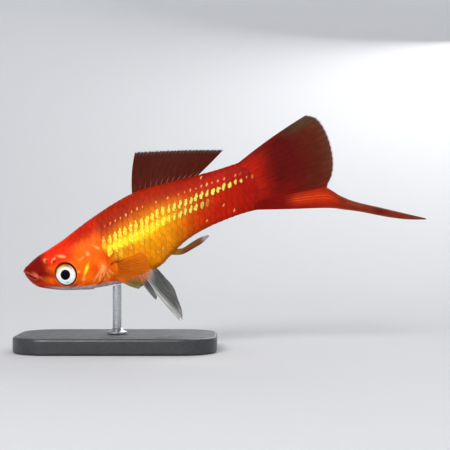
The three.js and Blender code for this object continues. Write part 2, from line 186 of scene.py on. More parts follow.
def distance_to(line, x, z):
    """Distance in the side view from points to a line of (x, z) points."""
    found = np.full(np.shape(x), 1e9)
    for (x0, z0), (x1, z1) in zip(line[:-1], line[1:]):
        dx, dz = x1 - x0, z1 - z0
        share = np.clip(((x - x0) * dx + (z - z0) * dz) / (dx * dx + dz * dz), 0, 1)
        found = np.minimum(found, np.hypot(x - x0 - share * dx, z - z0 - share * dz))
    return found


# Markings. Their places are read in the side view, where what is nearer looks a little
# further from the middle.

VIEW_MIDDLE = (51.3, -6.1)
VIEW_DISTANCE = 312.5


def as_seen(x, y, z):
    """Places in the side view, as a camera level with its middle sees them."""
    spread = VIEW_DISTANCE / (VIEW_DISTANCE - np.abs(y))
    return VIEW_MIDDLE[0] + (x - VIEW_MIDDLE[0]) * spread, VIEW_MIDDLE[1] + (z - VIEW_MIDDLE[1]) * spread


SNOUT_RED = srgb(122, 10, 2)
JAW_RED = srgb(196, 50, 16)
LIP_PINK = srgb(226, 104, 74)
PINK_RED = srgb(206, 52, 56)
HEAD_RED = srgb(234, 42, 2)
NAPE_RED = srgb(202, 34, 2)
CHEEK_ORANGE = srgb(255, 104, 12)
GILL_PALE = srgb(255, 184, 104)
DEEP_RED = srgb(196, 30, 2)
BACK_ORANGE = srgb(166, 34, 2)
FLANK_ORANGE = srgb(222, 84, 3)
BELLY_GOLD = srgb(240, 142, 6)
BELLY_EDGE = srgb(204, 110, 6)
GOLD = srgb(250, 176, 8)
YELLOW = srgb(255, 226, 12)
TAIL_RED = srgb(184, 27, 2)
TAIL_DARK = srgb(140, 10, 1)
SILVER = srgb(222, 216, 218)
GLINT_YELLOW = srgb(255, 246, 84)
GLINT_CREAM = srgb(250, 236, 116)
GLINT_GREEN = srgb(184, 206, 34)
GLINT_PINK = srgb(255, 176, 120)
# Dark red painted as shade in the crease over the pectoral fin's root
CREASE_SHADE = srgb(120, 12, 2)
BAR_SHADOW = srgb(196, 140, 60)

# The yellow band: its bright core and the golden field round it
core_middle = profile([(19, -1.7), (22, -1.55), (26, -1.45), (31, -1.25), (34.5, -0.6), (38, 0.1), (44, 0.5)])
core_half = profile([(19, 0.3), (22, 0.75), (25, 1.15), (31, 1.15), (36, 0.85), (44, 0.4)])
field_middle = profile([(19, -1.6), (24, -1.2), (32, -0.5), (40, 1.1), (48, 2.4), (62, 2.9)])
field_half = profile([(19, 0.8), (24, 2.5), (32, 3.4), (40, 2.6), (48, 1.3), (62, 0.8)])

# Small marks seen from the side: x, z, half length, half width, slope of the long side in degrees,
# colour and strength
MARKS = [
    (14.95, -4.9, 1.5, 0.4, 52, YELLOW, 1.0),
    (15.0, -4.8, 0.8, 0.22, 52, GLINT_YELLOW, 1.0),
    (13.6, -6.8, 0.9, 0.3, 52, GILL_PALE, 0.8),
    (13.0, -4.7, 0.4, 0.3, 0, GILL_PALE, 0.7),
    (10.2, 0.35, 1.1, 0.36, -28, GILL_PALE, 0.85),
    (7.9, 0.15, 0.8, 0.24, 38, GILL_PALE, 0.85),
    (6.0, 0.75, 0.45, 0.6, 0, GILL_PALE, 0.5),
    (16.6, -1.3, 0.5, 0.6, 0, GILL_PALE, 0.65),
    (14.7, -1.9, 0.9, 0.22, 18, GILL_PALE, 0.5),
    (19.3, -0.6, 0.8, 0.26, -45, GILL_PALE, 0.75),
    (21.3, 0.3, 0.25, 0.6, 0, GILL_PALE, 0.5),
    (19.0, -5.4, 0.9, 1.0, 0, GILL_PALE, 0.22),
    (17.0, -5.6, 1.0, 1.6, 0, DEEP_RED, 0.45),
    (20.8, -3.6, 1.5, 1.2, 0, DEEP_RED, 0.4),
    (2.5, -1.9, 1.0, 0.5, -60, LIP_PINK, 0.85),
    (3.6, -3.0, 0.7, 0.3, -50, LIP_PINK, 0.5),
    (5.8, -4.6, 2.2, 0.9, -30, CHEEK_ORANGE, 0.7),
    (10.8, -7.4, 1.5, 0.24, -14, LIP_PINK, 0.7),
    (9.9, -7.1, 1.3, 0.3, -12, PINK_RED, 0.7),
    (7.4, -6.3, 1.0, 0.25, -32, LIP_PINK, 0.5),
]
# Pale streaks that fan out over the gill cover, and the painted shade in the crease over the pectoral fin's
# root
GILL_STREAK_START = (19.2, -5.4)
GILL_STREAK_ENDS = [(15.8, -8.2), (17.0, -8.7), (18.4, -8.9), (19.7, -8.6), (20.9, -8.1)]
FIN_CREASE = [(21.2, -5.7), (23.4, -5.3)]


def mix(under, over, share):
    """One colour laid over another, with its share at each point."""
    share = np.asarray(share)[..., None]
    return under * (1 - share) + over * share


def plain(colour, s, t):
    """One colour all over a fin."""
    return np.broadcast_to(colour, np.broadcast(s, t).shape + (3,))


def mark(x, z, x0, z0, long, wide, slope):
    """Share of a small oval mark at points of the side view."""
    a = math.radians(slope)
    along = (x - x0) * math.cos(a) + (z - z0) * math.sin(a)
    across = -(x - x0) * math.sin(a) + (z - z0) * math.cos(a)
    return np.exp(-(((along / long) ** 2 + (across / wide) ** 2) ** 1.5))


def paint(x, y, z):
    """Colour of skin and scales alike at a point of the body."""
    height = (z - belly(x)) / (back(x) - belly(x))
    edge = z - belly(x)
    x, z = as_seen(x, y, z)
    colour = np.broadcast_to(FLANK_ORANGE, np.shape(x) + (3,)).copy()
    colour = mix(colour, BELLY_GOLD, smooth(0.5, 0.3, height) * smooth(20, 25, x) * smooth(47, 36, x))
    colour = mix(colour, BELLY_EDGE, smooth(1.6, 0.4, edge) * smooth(24, 29, x) * 0.8)
    # Darker towards the top of the back: partly the fish's own darker back, partly painted shade where the
    # back turns from the light
    colour = mix(colour, BACK_ORANGE, smooth(0.58, 0.82, height))
    colour = mix(colour, TAIL_RED, smooth(37, 54, x + 7 * (0.45 - height)))
    # darkest along the top behind the middle: partly the fish's own colour, partly painted shade
    colour = mix(colour, TAIL_DARK, smooth(0.78, 1.0, height) * smooth(34, 46, x) * 0.6)
    colour = mix(colour, TAIL_DARK, smooth(52, 61, x) * 0.7)
    field = hump((z - field_middle(x)) / field_half(x), 1.0) * smooth(20, 22.5, x)
    colour = mix(colour, GOLD, field * smooth(48, 36, x) * 0.85)
    core = np.exp(-(((z - core_middle(x)) / core_half(x)) ** 4)) * smooth(20.3, 22, x) * smooth(42, 36, x)
    colour = mix(colour, YELLOW, core)
    head = smooth(22, 19.5, x)
    colour = mix(colour, CHEEK_ORANGE, head * smooth(0.95, 0.75, height))
    colour = mix(colour, NAPE_RED, head * smooth(0.68, 0.86, height))
    colour = mix(colour, HEAD_RED, smooth(15, 11, x) * smooth(0.5, 0.66, height))
    colour = mix(colour, JAW_RED, smooth(9, 6.0, x) * smooth(0.62, 0.42, height))
    colour = mix(colour, SNOUT_RED, smooth(7.4, 4.4, x) * smooth(0.12, 0.36, height))
    for x0, z0, long, wide, slope, tint, strength in MARKS:
        colour = mix(colour, tint, strength * mark(x, z, x0, z0, long, wide, slope))
    for end in GILL_STREAK_ENDS:
        streak = hump(distance_to([GILL_STREAK_START, end], x, z), 0.22)
        colour = mix(colour, GILL_PALE, 0.62 * streak)
    lips = hump(distance_to(MOUTH, x, z) - 0.36, 0.2)
    colour = mix(colour, LIP_PINK, 0.35 * lips)
    # painted shade in the crease over the pectoral fin's root
    crease_shade = hump(distance_to(FIN_CREASE, x, z), 0.34)
    colour = mix(colour, CREASE_SHADE, 0.8 * crease_shade)
    throat = smooth(1.25, 0.55, edge) * smooth(3, 8, x) * smooth(31, 26, x)
    return mix(colour, SILVER, 0.9 * throat)


# Surface of the body


def widest(x):
    """Height at which the plain body is widest."""
    return belly(x) + (back(x) - belly(x)) * widest_share(x)


def section(x, angle):
    """y and z of the plain body at x and an angle round it: 0 at the right side, 90 degrees at the back."""
    middle = widest(x)
    c, s = np.cos(angle), np.sin(angle)
    power = 2 / np.where(s >= 0, back_squareness(x), belly_squareness(x))
    reach = np.where(s >= 0, back(x) - middle, middle - belly(x))
    return half_width(x) * np.sign(c) * np.abs(c) ** power, middle + reach * np.sign(s) * np.abs(s) ** power


def side_at(x, z):
    """Half width of the plain body at x and height z."""
    middle = widest(x)
    n = np.where(z >= middle, back_squareness(x), belly_squareness(x))
    reach = np.where(z >= middle, back(x) - middle, middle - belly(x))
    return half_width(x) * np.maximum(0, 1 - (np.abs(z - middle) / reach) ** n) ** (1 / n)


def relief(x, z, sideways):
    """Height of the skin over the plain body: lips, nostrils, eye socket, cheek folds and gill cover."""
    to_mouth = distance_to(MOUTH, x, z)
    lip = 0.05 + 0.17 * smooth(0.1, 1.4, x)
    front = lip * hump(to_mouth - LIP_OFFSET, LIP_WIDTH)
    front -= MOUTH_SLIT_DEPTH * hump(to_mouth, MOUTH_SLIT_WIDTH)
    front += 0.12 * hump(distance_to(JAW_FOLD, x, z), 0.45)
    past_eye = np.hypot(x - EYE["x"], (z - EYE["z"]) * EYE["radius"] / EYE["half_height"]) - EYE["radius"]
    sides = -SOCKET_DEPTH * smooth(0.05, 0.05 - SOCKET_SLOPE, past_eye)
    sides += 0.2 * hump(past_eye - 0.28, 0.26) - 0.07 * hump(past_eye - 0.95, 0.3)
    for x0, z0, radius in NOSTRILS:
        off = np.hypot(x - x0, z - z0)
        sides += 0.12 * hump(off - radius * 1.7, radius * 0.8) - 0.55 * hump(off, radius)
    sides -= 0.1 * hump(distance_to(PREOPERCLE, x, z), 0.22)
    sides -= 0.05 * hump(distance_to(THROAT_FOLD, x, z), 0.2)
    muscle_x, muscle_z, long, high, rise = FIN_MUSCLE
    sides += rise * np.exp(-(((x - muscle_x) / long) ** 2 + ((z - muscle_z) / high) ** 2))
    ahead = gill_edge(z) - x
    below_top = smooth(*COVER_TOP, z)
    cover = COVER_RISE * np.maximum(0, 1 - ahead / COVER_LENGTH) * smooth(-0.12, 0.06, ahead) * below_top
    groove = -0.08 * hump(ahead + 0.35, 0.4) * below_top * (ahead < 0)
    return front + sides * smooth(0.15, 0.5, sideways) + cover + groove


def tail_taper(x, z):
    """Share of the body's width that is left where it narrows onto the root of the tail fin."""
    left = np.clip((tail_root(z) + TAIL_OVERLAP - x) / TAIL_NARROWS, 0, 1)
    return TAIL_THIN + (1 - TAIL_THIN) * np.sqrt(1 - (1 - left) ** 2)


def coat_depth(x):
    """How far the skin lies inside the solids, so that the scales end at their surface."""
    return COAT_DEPTH * smooth(8, 20, x)


def normals_of(rings):
    """Outward normals of a grid of points: rings along the first index, round the body along the second."""
    sideways = np.roll(rings, -1, 1) - np.roll(rings, 1, 1)
    return unit(np.cross(sideways, np.gradient(rings, axis=0)))


def grid_faces(rows, columns, wrap=False):
    """Quads of a grid of rows by columns points, closing round the columns if wrap is true."""
    i, j = np.meshgrid(np.arange(rows - 1), np.arange(columns if wrap else columns - 1), indexing="ij")
    here, beyond = i * columns, (i + 1) * columns
    right = (j + 1) % columns
    return np.stack([here + j, here + right, beyond + right, beyond + j], -1).reshape(-1, 4)


def tube_faces(rows, columns, flip):
    """Faces of a closed tube: a grid that closes round its columns, and a cap at each end."""
    faces = grid_faces(rows, columns, wrap=True).tolist()
    faces.append(list(range(columns))[::-1])
    faces.append([(rows - 1) * columns + j for j in range(columns)])
    return [face[::-1] for face in faces] if flip else faces


def sheet_faces(rows, columns):
    """Faces of a thin closed sheet: a grid, the same grid under it, and the rim that joins them."""
    top = grid_faces(rows, columns)
    count = rows * columns
    border = list(range(columns))
    border += [i * columns + columns - 1 for i in range(1, rows)]
    border += [(rows - 1) * columns + j for j in range(columns - 2, -1, -1)]
    border += [i * columns for i in range(rows - 2, 0, -1)]
    nexts = border[1:] + border[:1]
    rim = np.array([[b, a, a + count, b + count] for a, b in zip(border, nexts)])
    return np.concatenate([top, top[:, ::-1] + count, rim])


def make_piece(name, points, faces, materials, replaced=(), wears=None, data=None, uv=None, sharp=50):
    """A mesh in the fish's frame as a piece of the model, with its point data and its map for baking."""
    mesh = bpy.data.meshes.new(name)
    mesh.from_pydata(place(points).tolist(), [], [[int(corner) for corner in face] for face in faces])
    for key, values in (data or {}).items():
        values = np.asarray(values, float)
        if values.ndim == 1:
            mesh.attributes.new(key, "FLOAT", "POINT").data.foreach_set("value", values.astype(np.float32))
        elif key == "paint":
            rgba = np.concatenate([values, np.ones((len(values), 1))], 1)
            mesh.attributes.new(key, "FLOAT_COLOR", "POINT").data.foreach_set("color", rgba.ravel())
        else:
            mesh.attributes.new(key, "FLOAT_VECTOR", "POINT").data.foreach_set("vector", values.ravel())
    if uv is not None:
        corners = np.zeros(len(mesh.loops), np.int32)
        mesh.loops.foreach_get("vertex_index", corners)
        layer = mesh.uv_layers.new(name="OFBake")
        layer.data.foreach_set("uv", np.asarray(uv, np.float32)[corners].ravel())
    for material in materials:
        mesh.materials.append(material)
    if wears is not None:
        mesh.polygons.foreach_set("material_index", np.asarray(wears, np.int32))
    mesh.shade_smooth()
    mesh.set_sharp_from_angle(angle=math.radians(sharp))
    mesh.update()
    piece = bpy.data.objects.new(name, mesh)
    bpy.context.scene.collection.objects.link(piece)
    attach(piece, "root")
    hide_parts(*replaced)
    return piece


# Materials


class Look:
    """A material with a principled shader, and short ways to add the nodes that feed it."""

    def __init__(self, name, roughness, specular=0.5, coat=0.0, coat_roughness=0.1, metallic=0.0):
        self.material = bpy.data.materials.new(name)
        self.material.use_nodes = True
        self.tree = self.material.node_tree
        self.shader = self.tree.nodes["Principled BSDF"]
        settings = {
            "Roughness": roughness, "Specular IOR Level": specular, "Coat Weight": coat,
            "Coat Roughness": coat_roughness, "Metallic": metallic,
        }
        for key, number in settings.items():
            self.shader.inputs[key].default_value = number

    def node(self, kind, **numbers):
        """A new node, with numbers for some of its inputs."""
        made = self.tree.nodes.new("ShaderNode" + kind)
        for key, number in numbers.items():
            made.inputs[key].default_value = number
        return made

    def link(self, output, socket):
        self.tree.links.new(output, socket)

    def feed(self, key, output):
        """Lets a socket drive an input of the shader."""
        self.link(output, self.shader.inputs[key])

    def attribute(self, name, kind="Fac"):
        """A point attribute of the mesh."""
        node = self.node("Attribute")
        node.attribute_name = name
        return node.outputs[kind]

    def split(self, vector):
        """The three numbers of a vector."""
        node = self.node("SeparateXYZ")
        self.link(vector, node.inputs[0])
        return node.outputs

    def position(self):
        """The place in the row frame, in metres."""
        return self.node("TexCoord").outputs["Object"]

    def math(self, operation, first, second=0.5, clamp=False):
        """A calculation with a socket and a socket or number."""
        node = self.node("Math")
        node.operation = operation
        node.use_clamp = clamp
        for socket, value in zip(node.inputs, (first, second)):
            if isinstance(value, (int, float)):
                socket.default_value = value
            else:
                self.link(value, socket)
        return node.outputs[0]

    def ramp(self, value, low, high, to_low=0.0, to_high=1.0):
        """A value remapped smoothly between two ends."""
        node = self.node("MapRange")
        node.interpolation_type = "SMOOTHSTEP"
        self.link(value, node.inputs["Value"])
        for key, number in zip(("From Min", "From Max", "To Min", "To Max"), (low, high, to_low, to_high)):
            node.inputs[key].default_value = number
        return node.outputs["Result"]

    def blend(self, share, under, over, kind="MIX"):
        """A mix of two colours, each a socket or a fixed colour."""
        node = self.node("Mix")
        node.data_type = "RGBA"
        node.blend_type = kind
        for key, value in (("Factor", share), ("A", under), ("B", over)):
            socket = next(s for s in node.inputs if s.name == key and (key == "Factor" or s.type == "RGBA"))
            if isinstance(value, (int, float)):
                socket.default_value = value
            elif isinstance(value, np.ndarray):
                socket.default_value = (*value, 1)
            else:
                self.link(value, socket)
        return next(s for s in node.outputs if s.type == "RGBA")

    def noise(self, scale, detail=3.0):
        """Noise in the row frame, with scale in cycles for each metre."""
        node = self.node("TexNoise", Scale=scale, Detail=detail, Roughness=0.55)
        self.link(self.position(), node.inputs["Vector"])
        return node.outputs["Fac"]

    def grain(self, vector, detail, stretch=(1.0, 1.0, 1.0)):
        """Noise over a vector that is stretched along its axes."""
        stretched = self.node("VectorMath")
        stretched.operation = "MULTIPLY"
        stretched.inputs[1].default_value = stretch
        self.link(vector, stretched.inputs[0])
        node = self.node("TexNoise", Scale=1.0, Detail=detail)
        self.link(stretched.outputs[0], node.inputs["Vector"])
        return node.outputs["Fac"]

    def bump(self, height, distance, strength):
        node = self.node("Bump", Distance=distance, Strength=strength)
        self.link(height, node.inputs["Height"])
        self.feed("Normal", node.outputs["Normal"])

    def shaded(self, colour, factor):
        """A colour multiplied by a number."""
        grey = self.node("CombineColor")
        for key in ("Red", "Green", "Blue"):
            self.link(factor, grey.inputs[key])
        return self.blend(1.0, colour, grey.outputs[0], "MULTIPLY")

    def mottled(self, colour, scale, low, high):
        """A colour made lighter and darker by noise between two factors."""
        return self.shaded(colour, self.ramp(self.noise(scale), 0.3, 0.7, low, high))

    def cloudy(self, scale, dark, light, detail=3.0):
        """A base colour that drifts between two colours."""
        self.feed("Base Color", self.blend(self.ramp(self.noise(scale, detail), 0.3, 0.7), dark, light))

    def flesh(self, weight, reach):
        """Light that passes a little way through skin or fin."""
        self.shader.inputs["Subsurface Weight"].default_value = weight
        self.shader.inputs["Subsurface Radius"].default_value = (1.0, 0.35, 0.12)
        self.shader.inputs["Subsurface Scale"].default_value = reach


def skin_material():
    look = Look("skin", 0.4, specular=0.07)
    colour = look.mottled(look.attribute("paint", "Color"), 900, 0.86, 1.1)
    look.feed("Base Color", look.mottled(colour, 4200, 0.9, 1.08))
    look.bump(look.noise(6500, 2.0), 0.00004, 0.6)
    look.flesh(0.12, 0.0009)
    return look.material


def scale_material():
    """Scales, each with a shade of its own and a soft rear edge, and bright speckled bars along the band."""
    look = Look("scales", 0.4, specular=0.07)
    colour = look.mottled(look.attribute("paint", "Color"), 1100, 0.9, 1.08)
    local = look.attribute("local", "Vector")
    along, across, rear = look.split(local)
    colour = look.shaded(colour, look.ramp(look.attribute("chance"), 0.0, 1.0, 0.9, 1.07))
    colour = look.shaded(colour, look.ramp(rear, 0.24, 0.04, 1.0, 0.72))
    # square of the distance from the middle of the scale's bar: 1 at its outline, which noise breaks up
    half_wide, half_high, lean = look.split(look.attribute("bar", "Vector"))
    spot_along, spot_across, outline = look.split(look.attribute("bar_spot", "Vector"))
    up = look.math("SUBTRACT", across, spot_across)
    off = look.math("SUBTRACT", along, look.math("MULTIPLY", up, lean))
    off = look.math("DIVIDE", look.math("SUBTRACT", off, spot_along), half_wide)
    up = look.math("DIVIDE", up, half_high)
    reach = look.math("ADD", look.math("MULTIPLY", off, off), look.math("MULTIPLY", up, up))
    reach = look.math("ADD", reach, look.ramp(look.noise(2600, 2.0), 0.25, 0.75, -0.8, 0.8))
    bar = look.math("MULTIPLY", look.ramp(reach, 1.25, 0.65), look.attribute("glint"), clamp=True)
    shadow = look.math("MULTIPLY", look.ramp(reach, 3.4, 1.4), outline)
    colour = look.blend(shadow, colour, BAR_SHADOW, "MULTIPLY")
    specks = look.ramp(look.noise(5200, 1.0), 0.42, 0.62)
    tint = look.blend(specks, look.attribute("tint", "Color"), look.attribute("tint_two", "Color"))
    look.feed("Base Color", look.blend(bar, colour, tint))
    # fine growth rings
    rings = look.node("TexWave", Scale=2.6, Distortion=0.6)
    rings.wave_type = "RINGS"
    rings.rings_direction = "Z"
    look.link(local, rings.inputs["Vector"])
    look.bump(rings.outputs["Fac"], 0.00003, 0.4)
    look.feed("Roughness", look.ramp(bar, 0.0, 1.0, 0.42, 0.26))
    look.flesh(0.05, 0.0006)
    return look.material


def fin_material(name):
    """Membrane: its colour and how much it hides come with the mesh, with fine streaks along the rays."""
    look = Look(name, 0.45, specular=0.07)
    streaks = look.grain(look.attribute("local", "Vector"), 3.0, (90.0, 5.0, 1.0))
    colour = look.shaded(look.attribute("paint", "Color"), look.ramp(streaks, 0.3, 0.7, 0.78, 1.16))
    look.feed("Base Color", look.mottled(colour, 700, 0.88, 1.1))
    look.bump(streaks, 0.00004, 0.5)
    look.feed("Alpha", look.attribute("cover"))
    look.flesh(0.1, 0.0005)
    return look.material


def ray_material(name):
    """Fin rays, jointed along their length."""
    look = Look(name, 0.42, specular=0.08)
    walked = look.split(look.attribute("local", "Vector"))[1]
    joint = look.math("SINE", look.math("MULTIPLY", walked, TURN / RAY_JOINT))
    dark = look.ramp(joint, 0.75, 1.0, 1.0, 0.72)
    look.feed("Base Color", look.shaded(look.attribute("paint", "Color"), dark))
    look.bump(dark, 0.00006, 0.6)
    look.flesh(0.1, 0.0004)
    return look.material


def iris_material():
    look = Look("iris", 0.5, specular=0.06)
    spokes = look.grain(look.attribute("local", "Vector"), 4.0)
    colour = look.shaded(look.attribute("paint", "Color"), look.ramp(spokes, 0.32, 0.68, 0.9, 1.06))
    look.feed("Base Color", colour)
    look.bump(spokes, 0.00005, 0.5)
    return look.material


def pupil_material():
    look = Look("pupil", 0.06, specular=0.07)
    look.cloudy(500, srgb(1, 1, 12), srgb(5, 4, 30))
    return look.material


# The eye's rim is painted dark: painted shade in the socket round the eye
def rim_shade_material():
    look = Look("eye_rim_shade", 0.5, specular=0.1)
    look.cloudy(1800, srgb(16, 5, 3), srgb(44, 16, 8))
    return look.material


def stand_material():
    """Satin black moulding with a fine grain."""
    look = Look("stand_satin", 0.42, coat=0.15, coat_roughness=0.3)
    look.cloudy(900, srgb(38, 39, 42), srgb(46, 47, 50), 4.0)
    look.feed("Roughness", look.ramp(look.noise(420, 4.0), 0.3, 0.7, 0.4, 0.48))
    look.bump(look.noise(5200, 2.0), 0.00003, 0.5)
    return look.material


def rod_material():
    """Steel brushed round the rod."""
    look = Look("stand_steel", 0.28, metallic=1.0)
    lines = look.grain(look.position(), 2.0, (400.0, 400.0, 26000.0))
    shade = look.ramp(lines, 0.3, 0.7)
    look.feed("Base Color", look.blend(shade, srgb(176, 178, 182), srgb(194, 196, 200)))
    look.feed("Roughness", look.ramp(lines, 0.3, 0.7, 0.22, 0.36))
    look.bump(lines, 0.000003, 0.3)
    return look.material


# Skin


# The skin's points: how many round it and in its stretches, where these end, and where it starts to follow
# the slant of the tail fin's root
SKIN_ROUND = 240
NOSE_RINGS, TRUNK_RINGS, TAIL_RINGS = 14, 150, 12
HEAD_END, HEAD_STEP = 22, 0.1
SLANT_START, SKIN_END = 46, 61.6
TAIL_ROUND = 1.2


def skin_points():
    """The skin as a grid of points, from the tip of the snout to the scaled root of the tail fin."""
    stations = np.concatenate([
        NOSE_ROUND * (1 - np.cos(np.linspace(0.05, 1, NOSE_RINGS) * TURN / 4)),
        np.arange(NOSE_ROUND + HEAD_STEP, HEAD_END, HEAD_STEP),
        np.linspace(HEAD_END, SKIN_END - TAIL_ROUND, TRUNK_RINGS),
        SKIN_END - TAIL_ROUND * (1 - np.sin(np.linspace(0.08, 1, TAIL_RINGS) * TURN / 4)),
    ])
    angles = around(SKIN_ROUND)
    x, angle = np.meshgrid(stations, angles, indexing="ij")
    y, z = section(x, angle)
    nose = np.sqrt(np.clip(1 - (1 - np.clip(x / NOSE_ROUND, 0, 1)) ** 2, 0, 1))
    nose_height = (back(0.0) + belly(0.0)) / 2
    y, z = y * nose, nose_height + (z - nose_height) * nose
    x = x + smooth(SLANT_START, SKIN_END, x) * (tail_root(z) - SKIN_END + TAIL_OVERLAP)
    y = y * tail_taper(x, z)
    points = np.stack([x, y, z], -1)
    normals = normals_of(points)
    normals[0] = (-1, 0, 0)
    raised = relief(x, z, np.abs(normals[..., 1])) - coat_depth(x)
    return points + normals * raised[..., None], stations, angles


def make_skin():
    points, stations, angles = skin_points()
    faces = tube_faces(*points.shape[:2], flip=False)
    flat = points.reshape(-1, 3)
    x, _, z = flat.T
    colour = paint(*flat.T)
    # Painted shade: the nostril pits and the mouth slit are painted darker, as shade in these hollows
    for x0, z0, radius in NOSTRILS:
        pit_shade = hump(np.hypot(x - x0, z - z0), radius * 0.8)
        colour = mix(colour, SNOUT_RED * 0.25, 0.85 * pit_shade)
    slit_shade = hump(distance_to(MOUTH, x, z), MOUTH_SLIT_WIDTH)
    colour = mix(colour, SNOUT_RED * 0.2, 0.8 * slit_shade)
    u, v = np.meshgrid(stations / MAP_LENGTH, angles / TURN, indexing="ij")
    uv = np.stack([u, v], -1).reshape(-1, 2)
    make_piece(
        "skin", flat, faces, [skin_material()], ("head", "trunk", "tail_stalk"),
        data={"paint": colour}, uv=uv, sharp=75,
    )


# Scales


# Places in the table of the unwrap, along the body and round it, each as first, last and count
UNWRAP_ALONG, UNWRAP_ROUND = (5, 64, 237), (-26, 26, 1041)
HALF_SECTION_STEPS = 1441


class Unwrap:
    """The plain body's surface by x and by the distance w round it from the lateral row of scales."""

    def __init__(self):
        self.x = np.linspace(*UNWRAP_ALONG)
        self.w = np.linspace(*UNWRAP_ROUND)
        half = np.linspace(-TURN / 4, TURN / 4, HALF_SECTION_STEPS)
        x, angle = np.meshgrid(self.x, half, indexing="ij")
        y, z = section(x, angle)
        steps = np.hypot(np.diff(y, axis=1), np.diff(z, axis=1))
        length = np.concatenate([np.zeros((len(self.x), 1)), np.cumsum(steps, 1)], 1)
        start = np.array([np.interp(lateral_row(a), row, s) for a, row, s in zip(self.x, z, length)])
        self.top = length[:, -1] - start
        self.bottom = -start
        self.angles = np.empty((len(self.x), len(self.w)))
        for i in range(len(self.x)):
            w = self.w.copy()
            # past the back or the belly the surface goes on down or up the other side
            over, under = w > self.top[i], w < self.bottom[i]
            w[over] = 2 * self.top[i] - w[over]
            w[under] = 2 * self.bottom[i] - w[under]
            angle = np.interp(w, length[i] - start[i], half)
            angle[over] = TURN / 2 - angle[over]
            angle[under] = -TURN / 2 - angle[under]
            self.angles[i] = angle

    def angle(self, x, w):
        """The angle round the body, for section(), between the nearest places of the table."""
        i = np.clip((x - self.x[0]) / (self.x[1] - self.x[0]), 0, len(self.x) - 1.001)
        j = np.clip((w - self.w[0]) / (self.w[1] - self.w[0]), 0, len(self.w) - 1.001)
        i0, j0 = i.astype(int), j.astype(int)
        a, b = i - i0, j - j0
        t = self.angles
        low = t[i0, j0] * (1 - b) + t[i0, j0 + 1] * b
        return low * (1 - a) + (t[i0 + 1, j0] * (1 - b) + t[i0 + 1, j0 + 1] * b) * a

    def point(self, x, w):
        y, z = section(x, self.angle(x, w))
        return np.stack([x, y, z], -1)

    def normal(self, x, w):
        step = 0.08
        up = self.point(x, w + step) - self.point(x, w - step)
        along = self.point(x + step, w) - self.point(x - step, w)
        return unit(np.cross(up, along))


# Quads across and along a scale, how much of its width they fill, and how square its two ends are
ACROSS, ALONG = 8, 5
FILLED = 0.97
REAR_SQUARENESS, FRONT_SQUARENESS = 2.2, 3.0


def scale_shape():
    """A scale's own grid: distance along, distance across, and how far each point is from the rear edge."""
    p = np.linspace(-FILLED, FILLED, ACROSS + 1)[:, None]
    q = np.linspace(0, 1, ALONG + 1)[None, :]
    rear = SCALE_REAR * (1 - np.abs(p) ** REAR_SQUARENESS) ** (1 / REAR_SQUARENESS)
    front = -SCALE_FRONT * (1 - np.abs(p) ** FRONT_SQUARENESS) ** (1 / FRONT_SQUARENESS)
    along = front + (rear - front) * q
    across = SCALE_HALF * p + 0 * q
    return along.ravel(), across.ravel(), (rear - along).ravel()


# Rows of scales below and above the lateral row, where they start and end, and how far they keep from the
# gill cover, from the tail fin's root and from the body's midline
SCALE_ROWS = range(-9, 9)
FIRST_SCALE, LAST_SCALE = 8.0, 62
GILL_MARGIN, TAIL_MARGIN, ROW_MARGIN = 0.9, 0.75, 0.3


def lattice(unwrap):
    """Roots of the scales of one side, in rows: place along, and distance round."""
    roots = []
    for row in SCALE_ROWS:
        w = row * ROW_STEP
        for x in np.arange(FIRST_SCALE + 0.5 * PITCH * (row % 2), LAST_SCALE, PITCH):
            top = np.interp(x, unwrap.x, unwrap.top)
            bottom = np.interp(x, unwrap.x, unwrap.bottom)
            if not bottom + ROW_MARGIN < w < top - ROW_MARGIN:
                continue
            z = unwrap.point(np.array(x), np.array(w))[2]
            on_nape = z > 0.6 and x > 9.5 + 0.55 * (7.5 - z)
            behind_gill = x > gill_edge(z) + GILL_MARGIN
            if (behind_gill or on_nape) and x < tail_root(z) - TAIL_MARGIN:
                roots.append((x, w))
    return np.array(roots)


# How far behind the root of a scale its bar lies
BAR_PLACE = 0.6


